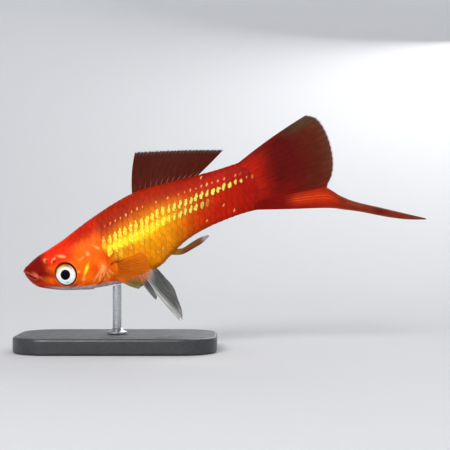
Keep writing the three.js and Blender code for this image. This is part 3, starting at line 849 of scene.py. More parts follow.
def glints(unwrap, roots):
    """The bright bar of each scale: its strength, its shape, its place with its outline, and its two tints.

    The shape is half the width, half the height and the lean. Rows 0 and -1 carry the bars of the band,
    row -2 fainter ones, and the line above them small specks.
    """
    count = len(roots)
    x, _, z = unwrap.point(roots[:, 0] + BAR_PLACE, roots[:, 1]).T
    row = roots[:, 1] / ROW_STEP
    jitter = RNG.random((count, 4))
    uneven = 0.82 + 0.18 * jitter[:, 0]
    comb = smooth(36, 30, x)
    tail = smooth(37, 43, x)
    behind_gill = smooth(21, 22.5, x)
    main = hump(row, 0.3) * behind_gill * smooth(63, 59.5, x) * uneven
    under = hump(row + 1, 0.3) * behind_gill * smooth(51, 45, x) * uneven
    lower = hump(row + 2, 0.3) * behind_gill * smooth(36, 28, x) * 0.5 * jitter[:, 0]
    above = speck_row(x) - z
    specks = (np.abs(above) < 1.05) * smooth(22, 27, x) * smooth(60, 57, x) * (jitter[:, 1] < 0.8) * uneven
    stray = (np.abs(row) > 1.6) * (x > 26) * (jitter[:, 1] > 0.93) * 0.8
    small = np.maximum(specks, stray)
    strength = np.maximum(np.maximum(main, under), np.maximum(lower, small))
    nearly = strength - 1e-6
    is_small = small >= nearly
    in_core = (under >= nearly) * comb
    half_wide = np.where(is_small, 0.16 + 0.12 * jitter[:, 2], 0.4 + 0.14 * jitter[:, 0] + 0.14 * in_core)
    half_high = np.where(is_small, 0.2 + 0.22 * jitter[:, 2], 0.84 + 0.34 * jitter[:, 2] + 0.3 * comb)
    half_high = half_high * np.where(is_small, 1, 1 - 0.22 * smooth(44, 58, x))
    lean = 0.3 + 0.3 * tail
    spot_along = BAR_PLACE + 0.3 * (jitter[:, 3] - 0.5)
    spot_across = np.where(is_small & (specks > 0), above, 0.4 * (jitter[:, 2] - 0.5) - 0.2 * comb)
    outline = strength * np.where(is_small, 0.3, 0.35 + 0.5 * tail - 0.3 * in_core)
    late = smooth(56, 60, x)
    tint = mix(np.broadcast_to(GLINT_YELLOW, (count, 3)), GLINT_CREAM, tail)
    tint = mix(tint, GLINT_PINK, np.maximum(late, is_small * 0.85))
    tint_two = mix(np.broadcast_to(GOLD, (count, 3)), GLINT_GREEN, tail * (1 - late))
    tint_two = mix(tint_two, CHEEK_ORANGE, is_small)
    bar = np.stack([half_wide, half_high, lean], 1)
    return strength, bar, np.stack([spot_along, spot_across, outline], 1), tint, tint_two


def build_scales(unwrap, roots, side, name):
    """One joined mesh of the scales with these roots, on the right side (1) or the left side (-1)."""
    along, across, to_rear = scale_shape()
    count, size = len(roots), len(along)

    def each(values):
        """Values of the scales, given to all their points."""
        return np.repeat(values, 2 * size, 0)

    rootx, rootw = roots[:, :1], roots[:, 1:2]
    grown = 1 + 0.05 * (RNG.random((count, 1)) - 0.5)
    x = rootx + along * grown
    w = rootw + across * grown
    base = unwrap.point(x, w)
    normal = unwrap.normal(x, w)
    rise = (along + SCALE_FRONT) / (SCALE_REAR + SCALE_FRONT)
    on_nape = smooth(19, 12, x) * smooth(0, 2, base[..., 2])
    low, high = SCALE_LIFT
    lift = low + (high - low) * rise * (1 - 0.62 * on_nape) - SCALE_DOME * (across / SCALE_HALF) ** 2
    lift = lift + 0.03 * (RNG.random((count, 1)) - 0.5) - coat_depth(x)
    base[..., 1] *= tail_taper(base[..., 0], base[..., 2])
    top = base + normal * lift[..., None]
    under = top - normal * SCALE_THICK
    points = np.concatenate([top, under], 1)
    points[..., 1] *= side
    faces = sheet_faces(ACROSS + 1, ALONG + 1)[None] + np.arange(count)[:, None, None] * 2 * size
    faces = faces.reshape(-1, 4)
    if side > 0:
        faces = faces[:, ::-1]
    chance = RNG.random(count)
    strength, bar, spot, tint, tint_two = glints(unwrap, roots)
    colour = paint(*points.reshape(-1, 3).T)
    local = np.stack([np.tile(along, 2), np.tile(across, 2), np.tile(to_rear, 2)], -1)
    map_x, map_w = rootx + MAP_SHARE * along, rootw + MAP_SHARE * across
    uv = np.stack([map_x / MAP_LENGTH, unwrap.angle(map_x, map_w) / TURN + 0.5], -1)
    uv = np.concatenate([uv, uv], 1).reshape(-1, 2)
    return make_piece(
        name, points.reshape(-1, 3), faces, [scale_material()],
        data={
            "paint": colour, "local": np.tile(local, (count, 1)), "glint": each(strength),
            "chance": each(chance), "bar": each(bar), "bar_spot": each(spot), "tint": each(tint),
            "tint_two": each(tint_two),
        },
        uv=uv,
    )


# Scales on the midline of the back and the belly: first and last, and the stretch that a fin takes up
BACK_SCALES, DORSAL_STRETCH = (10.0, 60.5), (30.5, 49.5)
BELLY_SCALES, BELLY_FIN_STRETCH = (20.5, 60.5), (25.5, 37.5)


def make_scales():
    unwrap = Unwrap()
    roots = lattice(unwrap)
    build_scales(unwrap, roots, 1, "scales_right")
    build_scales(unwrap, roots, -1, "scales_left")
    midline = []
    for (first, last), (fin_start, fin_end), edge in (
        (BACK_SCALES, DORSAL_STRETCH, unwrap.top),
        (BELLY_SCALES, BELLY_FIN_STRETCH, unwrap.bottom),
    ):
        for x in np.arange(first, last, PITCH):
            if not fin_start < x < fin_end:
                midline.append((x, np.interp(x, unwrap.x, edge)))
    build_scales(unwrap, np.array(midline), 1, "scales_midline")


# Fins

CURVE_STEPS = 400


def curve(points):
    """A smooth line through points, as a function of the share (0 to 1) of its length."""
    points = np.array(points, float)
    chords = np.concatenate([[0], np.cumsum(np.linalg.norm(np.diff(points, axis=0), axis=1) ** 0.5)])
    fine = np.linspace(0, chords[-1], CURVE_STEPS)
    line = np.stack([profile(np.stack([chords, points[:, k]], 1))(fine) for k in range(3)], 1)
    length = np.concatenate([[0], np.cumsum(np.linalg.norm(np.diff(line, axis=0), axis=1))])

    def at(share):
        wanted = np.clip(share, 0, 1) * length[-1]
        return np.stack([np.interp(wanted, length, line[:, k]) for k in range(3)], -1)

    return at


def fan(root, margin, bow):
    """A fan of rays from a root line to a margin. bow(s) is how far the middle of a ray bends."""
    start, end = curve(root), curve(margin)

    def at(s, t):
        s, t = np.broadcast_arrays(np.asarray(s, float), np.asarray(t, float))
        a, c = start(s), end(s)
        b = (a + c) / 2 + bow(s)
        t = t[..., None]
        return a * (1 - t) ** 2 + 2 * b * t * (1 - t) + c * t**2

    return at


def strip(first, last):
    """A strip between two edges, with its rays along it."""
    a, b = curve(first), curve(last)

    def at(s, t):
        s, t = np.broadcast_arrays(np.asarray(s, float), np.asarray(t, float))
        return a(t) * (1 - s[..., None]) + b(t) * s[..., None]

    return at


def fin_normal(at, s, t):
    """Normal of a fin's surface, from the points a small step away on each side."""
    step = 0.01
    low, high = np.clip(s - step, 0, 1), np.clip(s + step, 0, 1)
    near, far = np.clip(t - step, 0, 1), np.clip(t + step, 0, 1)
    return unit(np.cross(at(high, t) - at(low, t), at(s, far) - at(s, near)))


# Usual shape of a fin. The forks of its rays, its reach and how deep its margin is notched and ragged are
# shares of a ray's length. A ray's tips and the membrane's rows are counts, and ray_tint is a factor. The
# rest are millimetres: thickness at the root (thick) and the margin (edge), a ray's half width, at its end
# too, its half depth, and the flesh at the fin's root.
USUAL_FIN = {
    "forks": (0.4, 0.68), "tips": 4, "rows": 44, "thick": 0.34, "edge": 0.1, "notch": 0.03, "ray_width": 0.15,
    "ray_end": 0.05, "ray_depth": 0.26, "reach": 0.994, "ray_tint": 1.25, "root": 0.0, "ragged": 0.0,
}
RAY_SIDES, RAY_STEPS = 8, 70
# Width of a branch as a share of the ray that it forks from, and how much a ray thins between its joints
BRANCH_WIDTH = 0.78
JOINT_WAIST = 0.1
# How much thinner the membrane is between its rays
WEB_HOLLOW = 0.12


class Fin:
    """A fin: its surface at(s, t), with s over its rays and t from root to margin, and how it is finished."""

    def __init__(self, name, at, rays, colour, cover, slot, node, ray_colour=None, **shape):
        self.name, self.at, self.rays = name, at, rays
        self.colour, self.cover, self.slot, self.node = colour, cover, slot, node
        self.ray_colour = ray_colour or self.tinted
        self.shape = USUAL_FIN | shape

    def tinted(self, s, t):
        """The membrane's colour, lighter or darker, for rays that have no colour of their own."""
        return np.clip(self.colour(s, t) * self.shape["ray_tint"], 0, 1)

    def fleshy(self, t):
        """Extra half thickness at the root of the fin."""
        return self.shape["root"] / 2 * (1 - smooth(0, 0.4, t))

    def membrane(self):
        """The web between the rays: a thin closed sheet, hollow between them and notched at the margin."""
        k = self.shape
        columns = self.rays * k["tips"] * 4 + 1
        s = np.linspace(0, 1, columns)[None, :]
        t = np.linspace(0, 1, k["rows"])[:, None]
        phase = np.abs(np.sin(math.pi * self.rays * k["tips"] * s))
        ragged = k["ragged"] * (0.5 + 0.25 * np.sin(97 * s) + 0.25 * np.sin(211 * s + 1))
        t = t * (k["reach"] - k["notch"] * phase - ragged)
        s, t = np.broadcast_arrays(s, t)
        here = self.at(s, t)
        normal = fin_normal(self.at, s, t)
        hollow = np.abs(np.sin(math.pi * self.rays * s)) * (1 - 0.5 * t)
        thick = k["thick"] + (k["edge"] - k["thick"]) * smooth(0, 1, t)
        half = (thick - WEB_HOLLOW * k["thick"] * hollow) / 2
        half = half + self.fleshy(t)
        front = here + normal * half[..., None]
        rear = here - normal * half[..., None]
        points = np.concatenate([front.reshape(-1, 3), rear.reshape(-1, 3)])
        colour = self.colour(s, t).reshape(-1, 3)
        cover = np.clip(self.cover(s, t), 0, 1).ravel()
        local = np.stack([s, t, 0 * s], -1).reshape(-1, 3)
        uv = np.stack([0.02 + 0.46 * s.ravel(), 0.02 + 0.96 * t.ravel()], -1)
        name = self.name + "_membrane"
        make_piece(
            name, points, sheet_faces(*s.shape), [fin_material(name)], (self.node,),
            data={
                "paint": np.tile(colour, (2, 1)), "cover": np.tile(cover, 2), "local": np.tile(local, (2, 1)),
            },
            uv=np.concatenate([uv, uv + (0.5, 0)]),
        )

    def branches(self):
        """Each stretch of ray as (s along it, t along it, width factor)."""
        k = self.shape
        step = 1 / self.rays
        found = []
        for i in range(self.rays):
            middle = (i + 0.5) * step
            ends = [(k["reach"], [0.0])]
            if k["tips"] >= 2:
                ends = [(k["forks"][0], [0.0]), (k["reach"], [-0.25, 0.25])]
            if k["tips"] >= 4:
                ends = [ends[0], (k["forks"][1], [-0.25, 0.25]), (k["reach"], [-0.375, -0.125, 0.125, 0.375])]
            start, parents = 0.0, [0.0]
            for level, (end, offsets) in enumerate(ends):
                t = np.linspace(start, end, max(4, int(RAY_STEPS * (end - start))))
                for n, offset in enumerate(offsets):
                    parent = parents[n // 2] if level else 0.0
                    share = smooth(0, 1, (t - start) / (end - start)) ** 0.7
                    s = middle + step * (parent + (offset - parent) * share)
                    found.append((s, t, BRANCH_WIDTH**level))
                start, parents = end, offsets
        return found

    def ray_mesh(self):
        """All rays of the fin as one joined mesh of tapered, slightly jointed rods."""
        k = self.shape
        turn = around(RAY_SIDES)
        points, faces, colours, places, maps = [], [], [], [], []
        branches = self.branches()
        start = 0
        for n, (s, t, factor) in enumerate(branches):
            middle = self.at(s, t)
            normal = fin_normal(self.at, s, t)
            forward = unit(np.gradient(middle, axis=0))
            sideways = unit(np.cross(forward, normal))
            taper = factor * (1 + (k["ray_end"] / k["ray_width"] - 1) * t)
            walked = np.concatenate([[0], np.cumsum(np.linalg.norm(np.diff(middle, axis=0), axis=1))])
            joint = 1 - JOINT_WAIST * np.clip(np.sin(walked * TURN / RAY_JOINT), 0, 1) ** 4
            wide = k["ray_width"] * taper * joint
            deep = k["ray_depth"] * taper * joint + self.fleshy(t)
            ring = (
                middle[:, None]
                + sideways[:, None] * (np.cos(turn)[None, :, None] * wide[:, None, None])
                + normal[:, None] * (np.sin(turn)[None, :, None] * deep[:, None, None])
            )
            rows = len(s)
            points.append(ring.reshape(-1, 3))
            for face in tube_faces(rows, RAY_SIDES, flip=True):
                faces.append([start + corner for corner in face])
            colours.append(np.repeat(self.ray_colour(s, t), RAY_SIDES, 0))
            local = np.stack([np.full(rows, n * 0.37), walked, t], 1)
            places.append(np.repeat(local, RAY_SIDES, 0))
            across = (n + 0.8 * np.arange(RAY_SIDES) / RAY_SIDES) / len(branches)
            maps.append(np.stack(np.meshgrid(t, across, indexing="ij"), -1).reshape(-1, 2))
            start += rows * RAY_SIDES
        name = self.name + "_rays"
        make_piece(
            name, np.concatenate(points), faces, [ray_material(name)],
            data={"paint": np.concatenate(colours), "local": np.concatenate(places)}, uv=np.concatenate(maps),
        )

    def make(self):
        self.membrane()
        self.ray_mesh()


MAROON = srgb(88, 6, 2)
CRIMSON = srgb(108, 10, 8)
OLIVE_GREY = srgb(74, 54, 34)
MARGIN_BROWN = srgb(84, 42, 22)
BROWN_RED = srgb(84, 24, 8)
DORSAL_RED = srgb(78, 12, 3)
DORSAL_BROWN = srgb(72, 20, 5)
SWORD_RED = srgb(118, 8, 2)
SWORD_GLOW = srgb(188, 46, 10)
SWORD_DARK = srgb(64, 20, 12)
STREAK_PINK = srgb(206, 130, 104)
SWORD_ORANGE = srgb(240, 96, 24)
SWORD_BROWN = srgb(118, 42, 20)
PALE_EDGE = srgb(164, 108, 88)
RAY_PALE = srgb(168, 112, 84)
RAY_GREY = srgb(128, 110, 92)
RAY_TAN = srgb(146, 104, 76)
FIN_WHITE = srgb(206, 204, 200)
FIN_GREY = srgb(86, 88, 85)
PECTORAL_ORANGE = srgb(224, 104, 14)
PECTORAL_GREEN = srgb(112, 102, 40)


def bent(first, last):
    """How far the middle of a ray bends, changing evenly from the first ray to the last."""
    first, last = np.array(first, float), np.array(last, float)
    return lambda s: first + (last - first) * np.asarray(s)[..., None]


def hiding(share, less=0.0, start=0.0):
    """How much a membrane hides: a share that falls by less between start and its margin."""
    return lambda s, t: share - less * smooth(start, 1, t)


def make_dorsal_fin():
    at = fan(
        [(32.0, 0, 8.6), (36, 0, 8.6), (42, 0, 8.0), (47.8, 0, 7.3)],
        [(36.5, 0, 18.9), (43, 0.25, 16.9), (50, -0.2, 14.6), (57.6, 0.15, 11.9)],
        bent((-0.9, 0, 0.5), (-0.3, 0, -0.4)),
    )

    def colour(s, t):
        c = mix(plain(DORSAL_RED, s, t), BACK_ORANGE, smooth(0.1, 0.02, t) * 0.6)
        c = mix(c, DORSAL_BROWN, smooth(0.2, 0.45, t))
        return mix(c, srgb(58, 20, 12), smooth(0.7, 0.95, t) * 0.8)

    def ray_colour(s, t):
        c = mix(colour(s, t) * 1.3, RAY_PALE, hump(t - 0.14, 0.09) * (0.35 + 0.5 * smooth(0.1, 0.5, s)))
        return mix(c, RAY_GREY, smooth(0.8, 0.97, t) * 0.75)

    Fin(
        "dorsal_fin", at, 12, colour, hiding(0.99, 0.3, 0.84), "red_fin", "dorsal_fin", ray_colour,
        tips=2, forks=(0.55, 0.8), ragged=0.02, root=0.3,
    ).make()


def make_caudal_fin():
    at = fan(
        [(59.2, 0, 7.2), (60.6, 0, 4), (61, 0, 1.2), (60.6, 0, -1.4), (59.8, 0, -4)],
        [
            (80.0, 0, 13.0), (82.3, 0, 11.2), (83.3, 0, 7.4), (83.2, 0, 3), (82.4, 0, -0.6), (81.0, 0, -3.4),
            (79.3, 0, -5.2), (78.6, 0, -6.4),
        ],
        bent((0, 0, 0.9), (0, 0, -0.7)),
    )

    def colour(s, t):
        c = mix(plain(MAROON, s, t), TAIL_RED, smooth(0.44, 0.08, t + 0.1 * hump(s - 0.55, 0.3)) * 0.9)
        c = mix(c, CRIMSON, smooth(0.14, 0.02, s) * smooth(0.75, 0.4, t) * 0.7)
        c = mix(c, SWORD_RED, smooth(0.6, 0.85, s) * smooth(0.85, 0.4, t) * 0.6)
        c = mix(c, BROWN_RED, smooth(0.5, 0.8, t))
        c = mix(c, MARGIN_BROWN, smooth(0.74, 1, t) * smooth(0.98, 0.6, s) * 0.8)
        c = mix(c, OLIVE_GREY, smooth(0.5, 0.85, t) * smooth(0.22, 0.06, s))
        return mix(c, SWORD_RED, smooth(0.86, 0.98, s) * 0.7)

    def ray_colour(s, t):
        c = colour(s, t) * (1 + 0.16 * smooth(0.1, 0.4, t))[..., None]
        return mix(c, RAY_TAN, smooth(0.8, 0.98, t) * 0.7)

    def cover(s, t):
        return 0.99 - 0.14 * smooth(0.85, 1, t) * smooth(0.95, 0.6, s)

    Fin(
        "caudal_fin", at, 13, colour, cover, "red_fin", "caudal_fin", ray_colour,
        thick=0.5, rows=60, ray_width=0.2, notch=0.016, ragged=0.01, root=0.6,
    ).make()


def make_sword():
    at = strip(
        [
            (59.8, 0, -3.0), (69, 0, -4.2), (77.8, 0, -5.7), (79.4, 0, -7.0), (80.9, 0, -8.9), (84, 0, -11.6),
            (89.4, 0, -15.1), (94, 0, -18.1), (99.2, 0, -21.5),
        ],
        [
            (59.6, 0, -5.0), (67.9, 0, -7.8), (75.1, 0, -10.1), (78.5, 0, -11.4), (80.6, 0, -12.5),
            (84.3, 0, -14.4), (90.2, 0, -17.9), (94.8, 0, -20.2), (99.3, 0, -21.85),
        ],
    )

    def colour(s, t):
        c = plain(SWORD_RED, s, t)
        c = mix(c, SWORD_GLOW, smooth(0.16, 0.28, t) * smooth(0.6, 0.4, t) * hump(s - 0.42, 0.4))
        c = mix(c, SWORD_BROWN, smooth(0.42, 0.58, t) * 0.9)
        c = mix(c, PALE_EDGE, smooth(0.22, 0.02, s) * smooth(0.4, 0.6, t) * 0.75)
        c = mix(c, PALE_EDGE, smooth(0.85, 0.98, s) * smooth(0.3, 0.6, t) * 0.4)
        c = mix(c, SWORD_DARK, hump(t - 0.73, 0.04) * hump(s - 0.5, 0.35) * 0.7)
        return mix(c, srgb(96, 58, 50), smooth(0.85, 0.98, t) * 0.8)

    def ray_colour(s, t):
        flame = smooth(0.18, 0.26, t) * smooth(0.49, 0.41, t)
        bright = flame * (hump(s - 0.36, 0.1) + 0.6 * hump(s - 0.52, 0.08))
        c = mix(np.clip(colour(s, t) * 1.2, 0, 1), SWORD_ORANGE, np.clip(bright, 0, 1) * 0.9)
        return mix(c, STREAK_PINK, hump(t - 0.6, 0.05) * hump(s - 0.36, 0.1) * 0.8)

    Fin(
        "sword", at, 7, colour, hiding(0.99), "sword_fin", "sword", ray_colour,
        tips=1, rows=90, thick=0.5, edge=0.26, notch=0.0, ray_width=0.2, ray_end=0.045, ray_depth=0.34,
        reach=0.997, root=0.5,
    ).make()


def make_gonopodium():
    at = strip(
        [(36.8, 0, -7.2), (39.4, 0, -7.9), (42.2, 0, -7.3), (44.6, 0, -6.9), (46.6, 0, -7.0)],
        [(35.4, 0, -8.2), (38.6, 0, -9.35), (42.2, 0, -8.9), (44.8, 0, -8.3), (46.8, 0, -7.35)],
    )

    def colour(s, t):
        c = mix(plain(srgb(118, 70, 34), s, t), srgb(146, 104, 30), smooth(0.35, 0.15, t))
        c = mix(c, srgb(80, 42, 24), smooth(0.55, 0.8, s) * smooth(0.2, 0.4, t) * 0.6)
        return mix(c, srgb(150, 144, 148), smooth(0.74, 0.9, t))

    Fin(
        "gonopodium", at, 4, colour, hiding(1.0), "pale_fin", "gonopodium",
        tips=1, rows=50, thick=0.5, edge=0.26, notch=0.0, ray_width=0.2, ray_end=0.1, ray_depth=0.36,
    ).make()


# A pelvic fin is a short front lobe and a long blade behind it, each with its root, its margin, and how far
# its first and last rays bend
PELVIC = {
    "left": {
        "lobe": (
            [(26.8, 1.7, -10.3), (28.2, 1.5, -10.3)],
            [(28.6, 3.2, -17.1), (29.1, 3.2, -17.8), (29.6, 3.2, -17.1)],
            (-0.6, 0.0),
        ),
        "blade": (
            [(27.7, 1.6, -10.3), (28.9, 1.4, -10.2), (30.2, 1.2, -9.9)],
            [(32.9, 3.4, -24.8), (33.5, 3.4, -22.8), (33.4, 3.4, -20), (33, 3.4, -17.5), (31.6, 3.3, -14)],
            (-0.7, 0.6),
        ),
    },
    "right": {
        "lobe": (
            [(27.6, 1.7, -10.3), (29, 1.5, -10.2)],
            [(29.9, 2.8, -16.8), (30.5, 2.8, -17.4), (31, 2.8, -16.7)],
            (-0.5, 0.0),
        ),
        "blade": (
            [(28.4, 1.6, -10.3), (29.6, 1.4, -10.1), (30.8, 1.2, -9.7)],
            [(33.3, 3, -25.2), (33.9, 3, -22.9), (33.9, 3, -19.7), (33.8, 3, -16.4), (32.1, 2.9, -12.5)],
            (-0.5, 0.6),
        ),
    },
}


def on_side(points, side):
    return [(x, side * y, z) for x, y, z in points]


def pelvic_colour(s, t):
    c = mix(plain(FIN_GREY, s, t), FIN_WHITE, smooth(0.3, 0.05, s) * 0.6)
    c = mix(c, FIN_WHITE, smooth(0.4, 0.1, t) * 0.5)
    return mix(c, BELLY_GOLD, smooth(0.14, 0.02, t) * 0.5)


def make_pelvic_fin(name, side):
    for part, rays in (("lobe", 2), ("blade", 6)):
        root, margin, bend = PELVIC[name][part]
        at = fan(
            on_side(root, side),
            on_side(margin, side),
            bent((bend[0], side * 0.5, 0), (bend[1], side * 0.5, 0)),
        )
        Fin(
            "pelvic_fin_" + name + "_" + part, at, rays, pelvic_colour, hiding(0.86, 0.2, 0.1), "pale_fin",
            "pelvic_fin_" + name, tips=2, forks=(0.5, 0.8), thick=0.26, ray_tint=1.9, notch=0.015,
            ray_width=0.16,
        ).make()


def make_pectoral_fin(name, side):
    def sunk(x, z):
        """A point of the root, inside the body."""
        return (x, side * (float(side_at(x, z)) - 0.6), z)

    def out(x, lift, z):
        """A point of the margin, this far out from the body at the root."""
        return (x, side * (float(side_at(22, -7.5)) + lift), z)

    at = fan(
        [sunk(21.9, -5.7), sunk(21.7, -7.3), sunk(21.2, -8.9)],
        [
            out(30.2, 1.9, -5.2), out(31.2, 2.2, -8.2), out(30.4, 2.3, -10.9), out(28.6, 2.2, -12.7),
            out(26.3, 1.9, -13.8),
        ],
        bent((-0.2, side * 0.9, 0), (-0.2, side * 0.9, -0.9)),
    )

    def colour(s, t):
        c = plain(PECTORAL_ORANGE, s, t)
        # painted shade at the top of the fin's root, next to the crease
        c = mix(c, CREASE_SHADE, smooth(0.12, 0.0, s) * smooth(0.5, 0.2, t) * 0.7)
        return mix(c, PECTORAL_GREEN, smooth(0.25, 0.62, t) * smooth(0.6, 0.88, s))

    def cover(s, t):
        return 0.42 - 0.2 * smooth(0.2, 1, t) + 0.4 * smooth(0.6, 0.9, s)

    Fin(
        "pectoral_fin_" + name, at, 13, colour, cover, "orange_fin", "pectoral_fin_" + name,
        tips=2, forks=(0.5, 0.8), thick=0.22, edge=0.08, ray_width=0.09, ray_end=0.035,
        ray_depth=0.13, ray_tint=0.72, ragged=0.02,
    ).make()


# Eyes


# Outline of an eye from its front to its back, as (radius, height) pairs
EYE_PUPIL = [(0.03, 1.16), (0.3, 1.15), (0.6, 1.12), (0.87, 1.08), (1.08, 1.02), (1.2, 0.94)]
EYE_IRIS = [
    (1.23, 0.91), (1.33, 0.91), (1.5, 0.88), (1.7, 0.82), (1.9, 0.75), (2.1, 0.66), (2.3, 0.57),
    (2.45, 0.49),
]
EYE_RIM = [
    (2.48, 0.5), (2.54, 0.5), (2.62, 0.44), (2.68, 0.28), (2.7, 0.0), (2.6, -0.5), (1.8, -0.9),
    (0.1, -1.1),
]
EYE_ROUND = 96
# The pupil is a little egg-shaped: by this share, with its long side at this angle
PUPIL_EGG, PUPIL_LEAN = 0.07, math.radians(35)


def eye_frame(side):
    """Middle of an eye and its outward, tailward and upward directions."""
    out = float(side_at(EYE["x"], EYE["z"])) + EYE["bulge"] - EYE["half_depth"]
    middle = np.array([EYE["x"], side * out, EYE["z"]])
    outward = unit(np.array([-math.sin(EYE_YAW), side * math.cos(EYE_YAW), -math.sin(EYE_DROP)]))
    tailward = unit(np.array([1.0, 0.0, 0.0]) - outward * outward[0])
    return middle, outward, tailward, unit(np.cross(tailward, outward) * side)


def turned(outline, side):
    """Points of an outline of (radius, height) pairs turned round an eye's axis, ring by ring."""
    middle, outward, tailward, upright = eye_frame(side)
    angle = around(EYE_ROUND)
    radius, height = np.array(outline, float).T
    egg = 1 + PUPIL_EGG * np.cos(2 * (angle[None] - PUPIL_LEAN)) * smooth(1.7, 1.2, radius)[:, None]
    r = radius[:, None] * egg
    oval = EYE["half_height"] / EYE["radius"]
    ring = (
        middle
        + tailward * (r * np.cos(angle))[..., None]
        + upright * (oval * r * np.sin(angle))[..., None]
        + outward * height[:, None, None]
    )
    return ring, r, np.broadcast_to(angle, r.shape)


# Patches of the iris: direction from its middle in degrees, radius, spread round and across, colour
# and strength
IRIS_PATCHES = [
    (120, 1.9, 0.7, 0.4, srgb(238, 242, 168), 0.7),
    (84, 2.2, 1.2, 0.46, srgb(204, 142, 10), 1.0),
    (58, 2.12, 0.3, 0.2, srgb(116, 82, 4), 0.9),
    # painted shade: a dark arc along the top of the outer edge, under the socket's upper rim
    (100, 2.4, 0.8, 0.14, srgb(84, 46, 10), 0.9),
    (146, 2.24, 0.2, 0.16, srgb(128, 96, 24), 0.8),
    (28, 2.06, 0.12, 0.12, srgb(130, 104, 54), 0.8),
    (265, 1.85, 0.24, 0.34, srgb(128, 222, 216), 0.9),
    (194, 2.2, 0.3, 0.3, srgb(204, 212, 250), 0.9),
]


def iris_colour(radius, angle):
    """Silver white, gold towards the top, a breath of blue below, and painted shade from the socket round the
    outer edge, most at the top.
    """
    c = np.broadcast_to(srgb(250, 252, 246), radius.shape + (3,))
    for degrees, where, spread, width, tint, strength in IRIS_PATCHES:
        turn = (angle - math.radians(degrees) + TURN / 2) % TURN - TURN / 2
        c = mix(c, tint, strength * np.exp(-((turn / spread) ** 2) - ((radius - where) / width) ** 2))
    c = mix(c, srgb(150, 120, 90), smooth(1.3, 1.2, radius) * 0.7)
    # painted shade round the outer edge of the iris, next to the socket
    return mix(c, srgb(90, 50, 20), smooth(2.36, 2.45, radius) * 0.8)


def make_eye(name, side, materials):
    """An eye turned round its axis, in the materials of its pupil, iris and rim, the rim painted dark as
    shade in the socket.
    """
    outline = EYE_PUPIL + EYE_IRIS + EYE_RIM
    ring, radius, angle = turned(outline, side)
    iris_row, rim_row = len(EYE_PUPIL) - 1, len(EYE_PUPIL + EYE_IRIS)
    row_wears = [0] * iris_row + [1] * (rim_row - iris_row) + [2] * (len(outline) - 1 - rim_row)
    wears = np.repeat(row_wears, EYE_ROUND).tolist() + [0, 2]
    colour = iris_colour(radius, angle).reshape(-1, 3)
    local = np.stack([np.cos(angle) * 9, np.sin(angle) * 9, radius * 1.5], -1).reshape(-1, 3)
    make_piece(
        name + "_ball", ring.reshape(-1, 3), tube_faces(len(outline), EYE_ROUND, flip=side < 0), materials,
        (name,), wears=wears, data={"paint": colour, "local": local},
    )


def make_eyes():
    # the rim's material is painted shade in the socket
    materials = [pupil_material(), iris_material(), rim_shade_material()]
    make_eye("eye_left", -1, materials)
    make_eye("eye_right", 1, materials)


# Stand, studio, lights and camera


def finish_stand():
    """The stand's own solids, with better materials."""
    for node, material in (("stand_base", stand_material()), ("stand_rod", rod_material())):
        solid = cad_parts[node]
        solid.data.materials.clear()
        solid.data.materials.append(material)


# What the lights face
LIT = (0.025, 0.0, 0.03)


def make_studio():
    """A pale floor that curves up into a low wall all round, with the wall painted lighter than the floor to
    make up for the light it misses.
    """
    flat, rise, wall = 0.3, 0.7, 0.9
    sides, steps = 96, 16
    outline = [(0.0, 0.0), (0.2, 0.0), (flat, 0.0)]
    for i in range(1, steps + 1):
        a = i / steps * TURN / 4
        outline.append((flat + rise * math.sin(a), rise * (1 - math.cos(a))))
    outline.append((flat + rise, wall))
    points = [(r * math.cos(a), r * math.sin(a), z) for r, z in outline for a in around(sides)]
    mesh = bpy.data.meshes.new("studio")
    mesh.from_pydata(points, [], grid_faces(len(outline), sides, wrap=True).tolist())
    mesh.shade_smooth()
    look = Look("studio_paper", 0.9, specular=0.1)
    # painted light: lighter up the wall, which the lamps reach less than the floor
    lighter = look.ramp(look.split(look.position())[2], 0.0, 0.3)
    look.feed("Base Color", look.blend(lighter, srgb(206, 207, 209), srgb(234, 235, 237)))
    mesh.materials.append(look.material)
    studio = bpy.data.objects.new("studio", mesh)
    bpy.context.scene.collection.objects.link(studio)


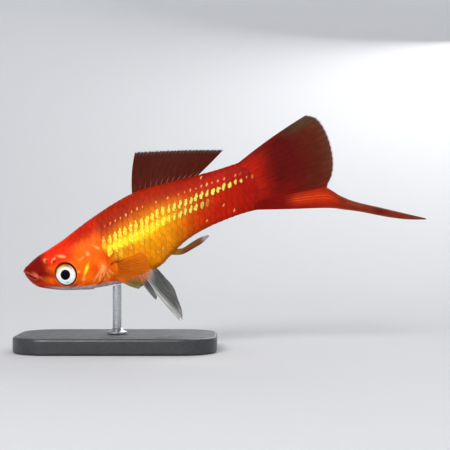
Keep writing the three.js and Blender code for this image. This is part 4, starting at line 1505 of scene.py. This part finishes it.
def add_light(name, spot, size, power):
    """A round soft light that faces the middle of the fish."""
    data = bpy.data.lights.new(name, "AREA")
    data.shape = "DISK"
    data.size = size
    data.energy = power
    light = bpy.data.objects.new(name, data)
    light.location = spot
    light.rotation_mode = "QUATERNION"
    light.rotation_quaternion = (Vector(LIT) - Vector(spot)).to_track_quat("-Z", "Y")
    light.visible_camera = False
    bpy.context.scene.collection.objects.link(light)


def add_lights():
    add_light("key", (-0.22, -0.6, 0.42), 0.34, 3.9)
    add_light("fill", (0.5, -0.45, 0.2), 0.5, 0.8)
    add_light("top", (0.05, 0.1, 0.75), 0.6, 0.9)
    add_light("behind", (0.25, 0.6, 0.4), 0.5, 2.0)
    world = bpy.data.worlds.new("studio_air")
    world.use_nodes = True
    air = world.node_tree.nodes["Background"].inputs
    air["Color"].default_value = (0.93, 0.95, 1.0, 1)
    air["Strength"].default_value = 0.36
    bpy.context.scene.world = world
    bpy.context.scene.view_settings.view_transform = "Standard"


# The photograph is square, with this many pixels a side and this many millimetres to a pixel at the fish
FRAME_PIXELS = 450
PIXEL = 0.25
# Where the tip of the snout is in it, from the left and from the top
SNOUT_PIXEL = (23.5, 271.5)
LENS, SENSOR = 100.0, 36.0


def add_camera():
    """Level, square to the fish's left side, with the photograph's framing at the plane of the fish."""
    wide = FRAME_PIXELS * PIXEL
    data = bpy.data.cameras.new("camera")
    data.lens, data.sensor_width = LENS, SENSOR
    data.clip_start, data.clip_end = 0.01, 20
    camera = bpy.data.objects.new("camera", data)
    x = SNOUT[0] + (FRAME_PIXELS / 2 - SNOUT_PIXEL[0]) * PIXEL
    z = SNOUT[2] + (SNOUT_PIXEL[1] - FRAME_PIXELS / 2) * PIXEL
    camera.location = (x * MM, -wide * LENS / SENSOR * MM, z * MM)
    camera.rotation_euler = (math.pi / 2, 0, 0)
    bpy.context.scene.collection.objects.link(camera)
    bpy.context.scene.camera = camera


make_skin()
make_scales()
make_dorsal_fin()
make_caudal_fin()
make_sword()
make_gonopodium()
for side_name, side_sign in (("left", -1), ("right", 1)):
    make_pelvic_fin(side_name, side_sign)
    make_pectoral_fin(side_name, side_sign)
make_eyes()
finish_stand()
make_studio()
add_lights()
add_camera()
